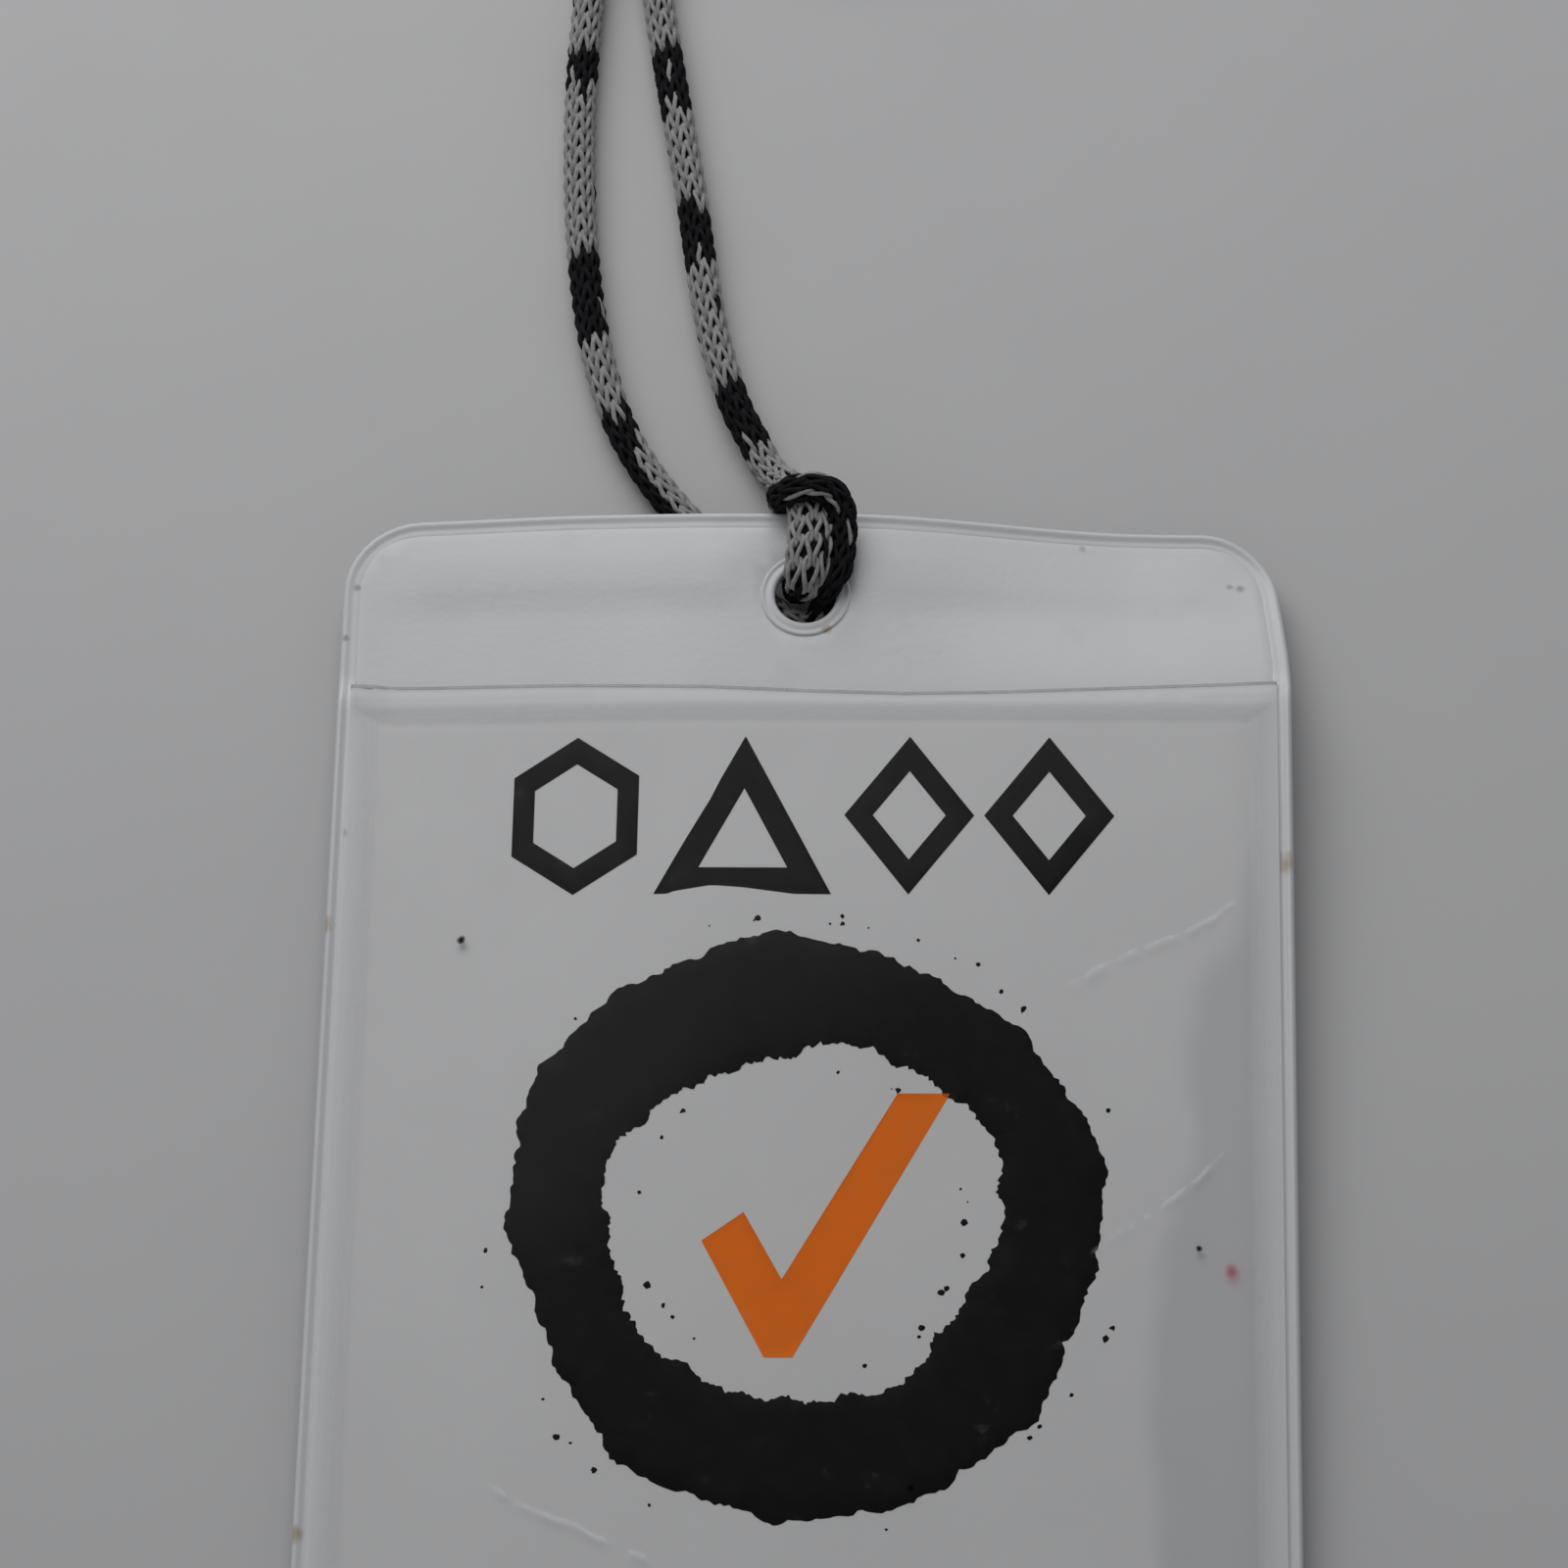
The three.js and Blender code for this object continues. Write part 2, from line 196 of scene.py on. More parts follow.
def build_mesh(name, verts, faces, slots=None):
    """A smooth-shaded mesh from an array of corners and an array of equal-sided faces."""
    mesh = bpy.data.meshes.new(name)
    faces = np.asarray(faces, np.int32)
    corners = faces.shape[1]
    mesh.vertices.add(len(verts))
    mesh.vertices.foreach_set("co", np.asarray(verts, np.float32).ravel())
    mesh.loops.add(faces.size)
    mesh.loops.foreach_set("vertex_index", faces.ravel())
    mesh.polygons.add(len(faces))
    mesh.polygons.foreach_set("loop_start", np.arange(0, faces.size, corners, dtype=np.int32))
    if slots is not None:
        mesh.polygons.foreach_set("material_index", np.asarray(slots, np.int32))
    mesh.update(calc_edges=True)
    mesh.shade_smooth()
    return mesh


def add_piece(mesh, materials, body, stands_for=()):
    """Puts a mesh in the scene as a piece of the object, riding on a body."""
    for material in materials:
        mesh.materials.append(material)
    piece = bpy.data.objects.new(mesh.name, mesh)
    bpy.context.scene.collection.objects.link(piece)
    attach(piece, body)
    if stands_for:
        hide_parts(*stands_for)
    return piece


def tube_quads(rings, sides, closed=False):
    """Faces that join each ring of corners to the next."""
    ring = np.arange(rings if closed else rings - 1)[:, None] * sides
    following = (ring + sides) % (rings * sides)
    k = np.arange(sides)[None, :]
    k_next = (k + 1) % sides
    return np.stack([ring + k, following + k, following + k_next, ring + k_next], axis=2).reshape(-1, 4)


# ---------- camera
CAMERA_PLACE = (23.33, -288.27, 580.32)
CAMERA_AZIMUTH = -5.38
CAMERA_ELEVATION = 65.01
CAMERA_ROLL = 4.64
CAMERA_LENS = 143
CAMERA_SENSOR = 36


def place_camera():
    azimuth, elevation = math.radians(CAMERA_AZIMUTH), math.radians(CAMERA_ELEVATION)
    level = math.cos(elevation)
    look = Vector((math.sin(azimuth) * level, math.cos(azimuth) * level, -math.sin(elevation)))
    camera = bpy.data.objects.new("camera", bpy.data.cameras.new("camera"))
    camera.data.lens = CAMERA_LENS
    camera.data.sensor_width = CAMERA_SENSOR
    camera.data.clip_start = 0.01
    camera.location = to_world(CAMERA_PLACE)
    camera.rotation_mode = "QUATERNION"
    roll = Quaternion((0, 0, 1), -math.radians(CAMERA_ROLL))
    camera.rotation_quaternion = look.to_track_quat("-Z", "Y") @ roll
    bpy.context.scene.collection.objects.link(camera)
    bpy.context.scene.camera = camera


# ---------- the neck cord's path
def drive(start, moves, step=1.5):
    """A level path that starts towards +Y. A move is (length, 0), or (radius, turn to the right)."""
    x, y = start
    heading = math.pi / 2
    points = [(x, y)]
    for size, turn in moves:
        travel = abs(turn) * size if turn else size
        count = max(2, int(travel / step))
        for _ in range(count):
            heading -= turn / count / 2
            x += math.cos(heading) * travel / count
            y += math.sin(heading) * travel / count
            heading -= turn / count / 2
            points.append((x, y))
    return points


def hank_strands(inner_run):
    """The folded length, from where the inner strand comes in to where the outer strand leaves."""
    half_turn = math.pi
    side = STRAND_PITCH / 2
    swing = math.acos(1 - (2 * BIGHT_R - STRAND_PITCH) / (2 * BIGHT_R))
    bight_height = 2 * BIGHT_R * math.sin(swing)
    top, foot = HANK_TURN_R, HANK_TURN_R - STRAND_PITCH
    moves = [
        (HANK_RUN, 0), (top - side, half_turn), (HANK_RUN, 0), (foot - side, half_turn),
        (inner_run - bight_height, 0), (BIGHT_R, swing), (BIGHT_R, -swing), (BIGHT_R, -half_turn),
        (inner_run, 0), (foot + side, -half_turn), (HANK_RUN, 0), (top + side, -half_turn), (HANK_RUN, 0),
    ]
    return drive((HANK_BAND_X + side, HANK_START_Y), moves)


def lay_hank(points):
    """Draws the strands in at the tie, and lifts them over it."""
    p = np.asarray(points, float)
    gap_middle = HANK_BAND_X + HANK_TURN_R + STRAND_PITCH
    gap_half = HANK_TURN_R - 2 * STRAND_PITCH
    away = np.minimum(np.abs(p[:, 1] - WAIST_Y) / WAIST_REACH, 1)
    pull = WAIST_DEPTH * np.cos(math.pi / 2 * away) ** 2
    x = p[:, 0] - pull * np.clip((p[:, 0] - gap_middle) / gap_half, -1, 1)
    past_tie = (np.abs(p[:, 1] - WAIST_Y) - TIE_WIDTH / 2) / (WAIST_REACH - TIE_WIDTH / 2)
    z = CORD_R + (TIE_THICKNESS + 0.1) * (1 - ease(past_tie))
    return np.stack([x, p[:, 1], z], axis=1)


def neck_cord_route():
    """The free cord from under the hitch's arch, through the hank, to behind the strip; FREE_CORD long."""
    right = spline(RIGHT_RUN)
    left = spline(LEFT_RUN)[::-1]
    inner_run = 55.0
    for _ in range(4):
        route = np.vstack([right[:-1], lay_hank(hank_strands(inner_run)), left[1:]])
        inner_run += (FREE_CORD - length_along(route)[-1]) / 2
    return resample(route, ROUTE_STEP)


# ---------- knitted cord
WALES = 7
COURSE = 2.1
LOOP_LEAN = 1.75
LOOP_DEPTH = 0.22
LOOP_HEIGHT = 1.45 * COURSE
CORE_R = 1.16
CORE_SIDES = 10
DARK, LIGHT = 0, 1


def level_frames(path):
    """Tangents and two normals that don't twist along the path."""
    tangent = unit(np.gradient(path, axis=0))
    normal = np.zeros_like(path)
    across = np.array([1.0, 0, 0])
    for i, t in enumerate(tangent):
        across = across - t * (across @ t)
        across /= np.linalg.norm(across)
        normal[i] = across
    return normal, np.cross(tangent, normal)


def squeezed(offset, wide, high):
    """An offset from the cord's middle line, squeezed sideways and upwards."""
    rise = offset @ UP
    return wide[:, None] * (offset - rise[:, None] * UP) + (high * rise)[:, None] * UP


def knit(name, route, tone, yarn_r, samples, sides):
    """A cord knitted round and round from one yarn, over a dark core. tone(s, wale) picks a loop's yarn."""
    path, wide, high = route[:, :3], route[:, 3], route[:, 4]
    along = length_along(path)
    normal, binormal = level_frames(path)

    def at(s, values):
        return np.stack([np.interp(s, along, values[:, k]) for k in range(values.shape[1])], axis=1)

    def around(s, angle, radius):
        out = np.cos(angle)[:, None] * at(s, normal) + np.sin(angle)[:, None] * at(s, binormal)
        w, h = np.interp(s, along, wide), np.interp(s, along, high)
        return at(s, path) + squeezed(radius[:, None] * out, w, h), out

    courses = int(round((along[-1] - LOOP_HEIGHT) / COURSE))
    count = courses * WALES * samples
    t = np.linspace(0, 2 * math.pi * WALES * courses, count + 1)
    s = COURSE * t / (2 * math.pi * WALES) + LOOP_HEIGHT / 2 * (1 - np.cos(t))
    s *= along[-1] / s.max()
    angle = (t + LOOP_LEAN * np.sin(2 * t)) / WALES
    radius = CORD_R - yarn_r - LOOP_DEPTH - LOOP_DEPTH * np.cos(2 * t)
    centre, out = around(s, angle, radius)
    heading = unit(np.gradient(centre, axis=0))
    side = unit(np.cross(heading, out))
    top = np.cross(side, heading)
    turn = angles_round(sides)
    yarn = centre[:, None, :] + yarn_r * (
        np.cos(turn)[None, :, None] * side[:, None, :] + np.sin(turn)[None, :, None] * top[:, None, :]
    )
    half_loop = np.arange(2 * courses * WALES)
    tones = np.repeat(tone(COURSE * half_loop / (2 * WALES), half_loop // 2 % WALES), samples // 2 * sides)

    core_s = np.arange(0.3, along[-1] - 0.3, 0.9)
    grid_s = np.repeat(core_s, CORE_SIDES)
    grid_angle = np.tile(angles_round(CORE_SIDES), len(core_s))
    core, _ = around(grid_s, grid_angle, np.full(len(grid_s), CORE_R))
    core_faces = tube_quads(len(core_s), CORE_SIDES)

    verts = np.vstack([yarn.reshape(-1, 3), core])
    faces = np.vstack([tube_quads(count + 1, sides), core_faces + (count + 1) * sides])
    slots = np.concatenate([tones, np.full(len(core_faces), DARK)])
    return build_mesh(name, to_world(verts), faces, slots)


# The yarn's blocks beside the hitch: how far each ends from the cord's first end, and from its last
FIRST_BLOCKS = [(8.8, LIGHT), (16.5, DARK), (32.2, LIGHT)]
HALF_DARK_END = 18.4
LAST_BLOCKS = [(42.0, LIGHT), (31.5, DARK), (22.6, LIGHT), (HALF_DARK_END, DARK), (0, LIGHT)]
DARK_BLOCK = (5, 8)
LIGHT_BLOCK = (7, 13)


def block_tones(blocks, seed, flecks=0.04):
    """Yarn dyed in blocks: blocks are (end along the cord, tone). The loops near a change are mixed."""
    ends = np.array([end for end, _ in blocks])
    tones = np.array([tone for _, tone in blocks])
    rng = np.random.default_rng(seed)
    ragged = rng.uniform(-1.1, 1.1, WALES)

    def tone(s, wale):
        found = tones[np.minimum(np.searchsorted(ends, s + ragged[wale]), len(tones) - 1)]
        odd = rng.random(len(s)) < np.where(found == DARK, flecks, flecks / 3)
        return np.where(odd, 1 - found, found)

    return tone


def neck_cord_blocks():
    """Grey and black by turns, between the blocks beside the hitch."""
    rng = np.random.default_rng(7)
    blocks = list(FIRST_BLOCKS)
    room_for_last = LAST_BLOCKS[0][0] + 10
    tone = DARK
    while blocks[-1][0] < FREE_CORD - room_for_last:
        size = rng.uniform(*(DARK_BLOCK if tone == DARK else LIGHT_BLOCK))
        blocks.append((blocks[-1][0] + size, tone))
        tone = LIGHT if tone == DARK else DARK
    return blocks + [(FREE_CORD - rest, tone) for rest, tone in LAST_BLOCKS]


def crimped(route):
    """The cord's size along its route: 1, and less in the ferrule, which is on the first stretch of it."""
    off_middle = np.abs(route[:, 1] - FERRULE_MID[1])
    in_ferrule = 1 - rise(off_middle, FERRULE_LENGTH / 2 - 1, FERRULE_LENGTH / 2 + 1.5)
    first_stretch = length_along(route) < HANK_START_Y + FERRULE_LENGTH * 2
    return 1 - CRIMP * in_ferrule * first_stretch


def make_neck_cord(yarns):
    """The free cord: both runs and the hank, knitted along one route."""
    route = neck_cord_route()
    squeeze = crimped(route)
    full = np.column_stack([route, squeeze, squeeze])
    tone = block_tones(neck_cord_blocks(), seed=3)
    half_dark_from = FREE_CORD - HALF_DARK_END

    def tone_with_mixed_end(s, wale):
        dark_side = (wale >= 5) | (wale < 2)
        return np.where((s > half_dark_from) & dark_side, DARK, tone(s, wale))

    mesh = knit("neck_cord", full, tone_with_mixed_end, yarn_r=0.27, samples=12, sides=5)
    piece = add_piece(
        mesh, yarns, "holder", ("cord_run_right", "cord_run_left", "cord_lead_in", "cord_hank"),
    )


def make_hitch(yarns):
    """The pass behind the strip, the black leg and arch over its front, and the grey leg."""
    route = spline(HITCH, 0.4)
    route[:, 3:] = np.clip(route[:, 3:], 0.5, 1.45)
    along, z = length_along(route), route[:, 2]
    black_from = along[np.argmax(z > HITCH_BLACK_Z)]
    flecked_from = along[np.argmax(z > HITCH_FLECKED_Z)]
    grey_from = along[np.argmax((along > SECOND_LEG_AFTER) & (z > HITCH_GREY_Z))]
    light_flecks, dark_flecks = 0.11, 0.05
    rng = np.random.default_rng(5)

    def tone(s, wale):
        fleck = rng.random(len(s))
        grey = (s < black_from) | (s > grey_from)
        flecked = (s > flecked_from) & (fleck < light_flecks)
        return np.where(grey, np.where(fleck < dark_flecks, DARK, LIGHT), np.where(flecked, LIGHT, DARK))

    mesh = knit("cord_hitch_knit", route, tone, yarn_r=0.25, samples=18, sides=6)
    add_piece(mesh, yarns, "holder", ("cord_hitch",))


# ---------- ferrule and strap
def make_ferrule(steel):
    """A crimped oval sleeve with two dents, open at both ends."""
    sides, half, flattened = 40, FERRULE_LENGTH / 2, 1.3
    outer, rim, bore = 0.985 * CORD_R, 0.83 * CORD_R, 0.72 * CORD_R
    dent_y, dent_half, dent_depth = 2.2, 0.9, 0.26
    rows = []
    for y in np.linspace(-half + 0.35, half - 0.35, 27):
        dent = max(math.exp(-((y - middle) / dent_half) ** 2) for middle in (-dent_y, dent_y))
        rows.append((y, outer - dent_depth * dent, dent))
    profile = [(-half + 0.02, 0.91 * outer, 0), (-half + 0.12, 0.98 * outer, 0)] + rows
    profile += [(half - 0.12, 0.98 * outer, 0), (half - 0.02, 0.91 * outer, 0), (half, rim, 0)]
    profile += [(half - 0.1, bore, 0), (-half + 0.1, bore, 0), (-half, rim, 0)]
    angle = angles_round(sides)
    before, after = RIGHT_RUN[-4], RIGHT_RUN[-2]
    lean = math.atan2(after[0] - before[0], after[1] - before[1])
    verts = []
    for y, r, dent in profile:
        x = flattened * r * (1 + 0.05 * dent) * np.cos(angle)
        z = (r - 0.1 * dent) * np.sin(angle)
        verts.append(np.stack([
            FERRULE_MID[0] + x * math.cos(lean) + y * math.sin(lean),
            FERRULE_MID[1] - x * math.sin(lean) + y * math.cos(lean),
            CORD_R + 0.02 + z,
        ], axis=1))
    mesh = build_mesh("ferrule", to_world(np.vstack(verts)), tube_quads(len(profile), sides, closed=True))
    add_piece(mesh, [steel], "holder", ("cord_ferrule",))


def make_strap(strap):
    """A hook-and-loop strap once round the waist of the hank, its rounded end lapped over the start."""
    middle = HANK_BAND_X + HANK_TURN_R
    reach = HANK_TURN_R + STRAND_PITCH / 2 + CORD_R - WAIST_DEPTH + 0.75
    half = TIE_THICKNESS / 2
    low, high, corner = half, CORD_D + 1.35, 2.0
    lap_from, lap, lapped = middle - 3.0, 15.0, high + 0.82
    corners = [(1, high, 0), (1, low, -90), (-1, low, -180), (-1, high, -270)]
    line = [(middle - 4.0, high)]
    for side, z, start in corners:
        cx = middle + side * (reach - corner)
        cz = z + (corner if z == low else -corner)
        for a in np.linspace(90 + start, start, 7):
            line.append((cx + corner * math.cos(math.radians(a)), cz + corner * math.sin(math.radians(a))))
    line += [(middle - 10.0, high), (middle - 5.5, high + 0.35), (lap_from, lapped), (lap_from + lap, lapped)]
    path = resample(np.array([(x, 0.0, z) for x, z in line]), 0.6)
    s = length_along(path)
    tangent = unit(np.gradient(path, axis=0))
    normal = np.stack([-tangent[:, 2], tangent[:, 1], tangent[:, 0]], axis=1)
    from_end = np.minimum(np.minimum(s, s[-1] - s) / (TIE_WIDTH / 2), 1)
    breadth = TIE_WIDTH / 2 * np.sqrt(np.clip(1 - (1 - from_end) ** 2, 0.02, 1))
    section = [(-1, 0.55), (-0.97, 1), (-0.8, 1), (0, 1), (0.8, 1), (0.97, 1), (1, 0.55)]
    section += [(across, -up) for across, up in reversed(section)]
    rings = []
    for across, up in section:
        ring = path + normal * (up * half)
        ring[:, 1] = WAIST_Y + across * breadth
        rings.append(ring)
    verts = np.stack(rings, axis=1)
    sides = len(section)
    mesh = build_mesh("hank_strap", to_world(verts.reshape(-1, 3)), tube_quads(len(path), sides))
    close_ends(mesh, len(path), sides)
    add_piece(mesh, [strap], "holder", ("hank_tie",))


def close_ends(mesh, rings, sides):
    """Closes both ends of a swept band."""
    shape = bmesh.new()
    shape.from_mesh(mesh)
    shape.verts.ensure_lookup_table()
    for first in (0, (rings - 1) * sides):
        shape.faces.new([shape.verts[first + k] for k in range(sides)])
    bmesh.ops.recalc_face_normals(shape, faces=shape.faces)
    shape.to_mesh(mesh)
    shape.free()


# ---------- the holder's shape
def sag(x, v):
    """How far the soft holder sinks from its flat plane, at its top right and along its left side."""
    return 2.7 * rise(x, 1, 33) * rise(v, 140, 160) + 1.5 * rise(-x, 8, 46) * rise(v, 30, 140)


def place(x, v, w):
    """World places, in metres, of points given on the holder's face."""
    x, v, w = np.broadcast_arrays(np.asarray(x, float), np.asarray(v, float), np.asarray(w, float))
    drawn_in = 1.5 * rise(x, 26, 49) * rise(v, 142, 160)
    right_dip = 1.0 * rise(x, 4, 40) * rise(v, 150, 162)
    left_dip = 0.5 * rise(-x, 24, 48) * rise(v, 120, 150)
    along = v - (right_dip + left_dip)
    y = along * math.cos(TILT) - w * math.sin(TILT) - FACE_MIDDLE
    z = along * math.sin(TILT) + w * math.cos(TILT) - sag(x, v)
    return np.stack([x - drawn_in, y, z], axis=-1) * MM


def film_lift(x, v):
    """The front window bows off the card, with slow waves and a lip that lifts at its mouth."""
    held_at = HALF_W - SEAM_W - 0.3
    at_mouth = rise(v, MOUTH - 16, MOUTH - 2)
    bow = 0.4 * (1 - np.clip(np.abs(x) / held_at, 0, 1) ** 3) * (1 - at_mouth)
    waves = 0.05 * np.sin(x / 7.5 + v / 31) + 0.04 * np.sin(v / 13 - x / 19)
    curl = 0.6 * rise(-x, 43, 46) * rise(v, MOUTH - 2, MOUTH)
    return bow + waves * ease((held_at - np.abs(x)) / 8) * (1 - at_mouth) - 0.17 * at_mouth + curl


def rounded_outline(half_w, foot, top, foot_r, top_r, step=2.0):
    """A closed outline about x = 0, anticlockwise, with its own corner radii and points a step apart."""
    corners = [
        (half_w - foot_r, foot + foot_r, foot_r, -90), (half_w - top_r, top - top_r, top_r, 0),
        (-half_w + top_r, top - top_r, top_r, 90), (-half_w + foot_r, foot + foot_r, foot_r, 180),
    ]
    points = []
    for cx, cy, r, start in corners:
        if r == 0:
            points.append((cx, cy))
            continue
        for a in np.linspace(start, start + 90, 10):
            points.append((cx + r * math.cos(math.radians(a)), cy + r * math.sin(math.radians(a))))
    points.append(points[0])
    full = []
    for (x0, y0), (x1, y1) in zip(points, points[1:]):
        count = max(1, int(math.hypot(x1 - x0, y1 - y0) / step))
        for k in range(count):
            full.append((x0 + (x1 - x0) * k / count, y0 + (y1 - y0) * k / count))
    return np.array(full)


def circle(cx, cy, r, sides=48):
    angle = angles_round(sides)
    return np.stack([cx + r * np.cos(angle), cy + r * np.sin(angle)], axis=1)


def inset(loop, distance):
    """A closed anticlockwise outline moved inwards; a negative distance moves it outwards."""
    before = loop - np.roll(loop, 1, axis=0)
    after = np.roll(loop, -1, axis=0) - loop
    left, left_after = [unit(np.stack([-edge[:, 1], edge[:, 0]], axis=1)) for edge in (before, after)]
    bisector = (left + left_after) / (1 + np.sum(left * left_after, axis=1))[:, None]
    return loop + bisector * distance


def inside(points, loop):
    """Which points lie inside a closed outline."""
    x, y = points[:, 0][:, None], points[:, 1][:, None]
    x0, y0 = loop[:, 0][None], loop[:, 1][None]
    x1, y1 = np.roll(loop[:, 0], -1)[None], np.roll(loop[:, 1], -1)[None]
    crosses = ((y0 > y) != (y1 > y)) & (x < (x1 - x0) * (y - y0) / np.where(y1 == y0, 1e-9, y1 - y0) + x0)
    return crosses.sum(axis=1) % 2 == 1


def fill(loops, spacing):
    """Triangles inside the first outline and outside the others, with a grid of points between them."""
    outer = loops[0]
    xs = np.arange(outer[:, 0].min() + spacing / 2, outer[:, 0].max(), spacing)
    ys = np.arange(outer[:, 1].min() + spacing / 2, outer[:, 1].max(), spacing)
    grid = np.stack(np.meshgrid(xs, ys), axis=-1).reshape(-1, 2)
    keep = inside(grid, outer)
    for hole in loops[1:]:
        keep &= ~inside(grid, hole)
    edge = np.vstack(loops)
    near = np.array([np.min(np.hypot(*(edge - p).T)) for p in grid]) < spacing * 0.45
    grid = grid[keep & ~near]
    edges, start = [], 0
    for loop in loops:
        edges += [(start + k, start + (k + 1) % len(loop)) for k in range(len(loop))]
        start += len(loop)
    points = [Vector(p) for p in np.vstack([edge, grid])]
    verts, _, faces, *_ = delaunay_2d_cdt(points, edges, [], 0, 1e-5)
    flat = np.array([tuple(v) for v in verts])
    middles = np.array([flat[list(face)].mean(axis=0) for face in faces])
    wanted = inside(middles, outer)
    for hole in loops[1:]:
        wanted &= ~inside(middles, hole)
    return flat, np.array([list(face) for face, good in zip(faces, wanted) if good])


def slab(name, outline, holes, layer, lift=None, spacing=3.0, rounding=0.14):
    """A closed thin sheet with rounded edges. lift(x, v) raises it locally."""
    low, high = layer
    rounding = min(rounding, (high - low) / 2 * 0.98)
    loops = [outline] + holes
    rims = [[inset(loops[0], d)] + [inset(h, -d) for h in holes] for d in (rounding, 0.3 * rounding, 0)]
    flat, faces = fill(rims[0], spacing)
    edge_count = sum(len(loop) for loop in loops)
    middle = [(rims[1], high - 0.3 * rounding), (rims[2], high - rounding)]
    middle += [(rims[2], low + rounding), (rims[1], low + 0.3 * rounding)]
    levels = [(flat, np.full(len(flat), high))]
    levels += [(np.vstack(rim), np.full(edge_count, w)) for rim, w in middle]
    levels += [(flat, np.full(len(flat), low))]
    xv = np.vstack([points for points, _ in levels])
    w = np.concatenate([heights for _, heights in levels])
    if lift is not None:
        w = w + lift(xv[:, 0], xv[:, 1])
    starts = np.cumsum([0] + [len(points) for points, _ in levels])
    triangles = [faces, faces[:, ::-1] + starts[-2]]
    first = 0
    for loop, is_hole in zip(loops, [False] + [True] * len(holes)):
        k = first + np.arange(len(loop))
        k_next = first + (np.arange(len(loop)) + 1) % len(loop)
        for upper, lower in zip(starts[:-2], starts[1:-1]):
            ring = np.stack([upper + k, lower + k, lower + k_next, upper + k_next], axis=1)
            if is_hole:
                ring = ring[:, ::-1]
            triangles += [ring[:, [0, 1, 2]], ring[:, [0, 2, 3]]]
        first += len(loop)
    return build_mesh(name, place(xv[:, 0], xv[:, 1], w), np.vstack(triangles))


def hole_cut():
    """The opening in each white sheet, whose edge is hidden in the hole's seam."""
    return circle(HOLE_X, HOLE_V, HOLE_SEAM_R - 0.2)


def make_back_sheet(white):
    outline = rounded_outline(HALF_W, 0, HOLDER_L, FOOT_CORNER_R, TOP_CORNER_R)
    mesh = slab("pouch_back", outline, [hole_cut()], BACK_LAYER)
    add_piece(mesh, [white], "holder", ("back_sheet",))


def make_strip(white):
    """The strip's own front sheet, which bows a little above where the card can reach."""
    edge = HALF_W - SEAM_W + INTO_SEAM
    outline = rounded_outline(edge, MOUTH - 6, HOLDER_L - SEAM_W + INTO_SEAM, 0, TOP_CORNER_R - SEAM_W)

    def bow(x, v):
        across = ease((edge - np.abs(x)) / 9)
        down = ease((v - MOUTH - CARD_TRAVEL) / 3) * ease((HOLDER_L - SEAM_W - v) / 3)
        from_hole = ease((np.hypot(x - HOLE_X, v - HOLE_V) - HOLE_SEAM_R) / 5)
        return 0.3 * across * down * from_hole

    mesh = slab("strip_front", outline, [hole_cut()], STRIP_LAYER, bow, spacing=1.6)
    add_piece(mesh, [white], "holder", ("strip_sheet",))


def mouth_line(x):
    """Where the window's slack upper edge runs: it dips in its middle."""
    return MOUTH - np.interp(x, *np.transpose(MOUTH_DIP))


def make_window(film):
    edge = HALF_W - SEAM_W + INTO_SEAM
    outline = rounded_outline(edge, SEAM_W - INTO_SEAM, MOUTH, FOOT_CORNER_R - SEAM_W, 0, step=1.2)
    upper = outline[:, 1] > MOUTH - 0.01
    outline[upper, 1] = mouth_line(outline[upper, 0])
    mesh = slab("window_film", outline, [], WINDOW_LAYER, film_lift, spacing=1.8)
    add_piece(mesh, [film], "holder", ("front_window",))


def make_mouth_lip(lip):
    """The window's thickened upper edge, where the sheet was cut hot."""
    rings, sides, half = 160, 10, HALF_W - SEAM_W + 0.1
    half_wide, half_thick = 0.3, 0.17
    x = np.repeat(np.linspace(-half, half, rings), sides)
    turn = np.tile(angles_round(sides), rings)
    middle = mouth_line(x)
    v = middle + half_wide * np.cos(turn)
    w = sum(WINDOW_LAYER) / 2 + film_lift(x, middle) + half_thick * np.sin(turn)
    mesh = build_mesh("mouth_lip", place(x, v, w), tube_quads(rings, sides))
    close_ends(mesh, rings, sides)
    add_piece(mesh, [lip], "holder")


# Across the seam: how far in from the edge, and how far up from the back sheet to the bead's crest
SEAM_SECTION = [
    (0.02, 0.0), (0.0, 0.35), (0.07, 0.66), (0.22, 0.87), (0.42, 0.93), (0.62, 0.9), (0.82, 0.81),
    (1.0, 0.75), (1.15, 0.73), (1.3, 0.74), (1.5, 0.75), (1.7, 0.73), (1.88, 0.68), (1.96, 0.5), (1.98, 0.25),
    (1.97, 0.0),
]


def make_seam(white):
    """One bead round the whole outline: a crest at the edge, a groove and a low inner ridge."""
    outline = rounded_outline(HALF_W, 0, HOLDER_L, FOOT_CORNER_R, TOP_CORNER_R, step=1.0)
    on_strip = rise(outline[:, 1], MOUTH - 1.0, MOUTH + 1.5)
    crest_by_window, crest_by_strip = 2.3, 1.25
    crest = crest_by_window * (1 - on_strip) + crest_by_strip * on_strip
    base = BACK_LAYER[1] - 0.04
    rings = []
    for across, up in SEAM_SECTION:
        line = inset(outline, across)
        rings.append(place(line[:, 0], line[:, 1], base + up * (crest - base)))
    verts = np.stack(rings, axis=1).reshape(-1, 3)
    mesh = build_mesh("edge_seam", verts, tube_quads(len(outline), len(SEAM_SECTION), closed=True)[:, ::-1])
    nodes = ("strip_weld", "side_weld_left", "side_weld_right", "foot_weld")
    add_piece(mesh, [white], "holder", nodes)


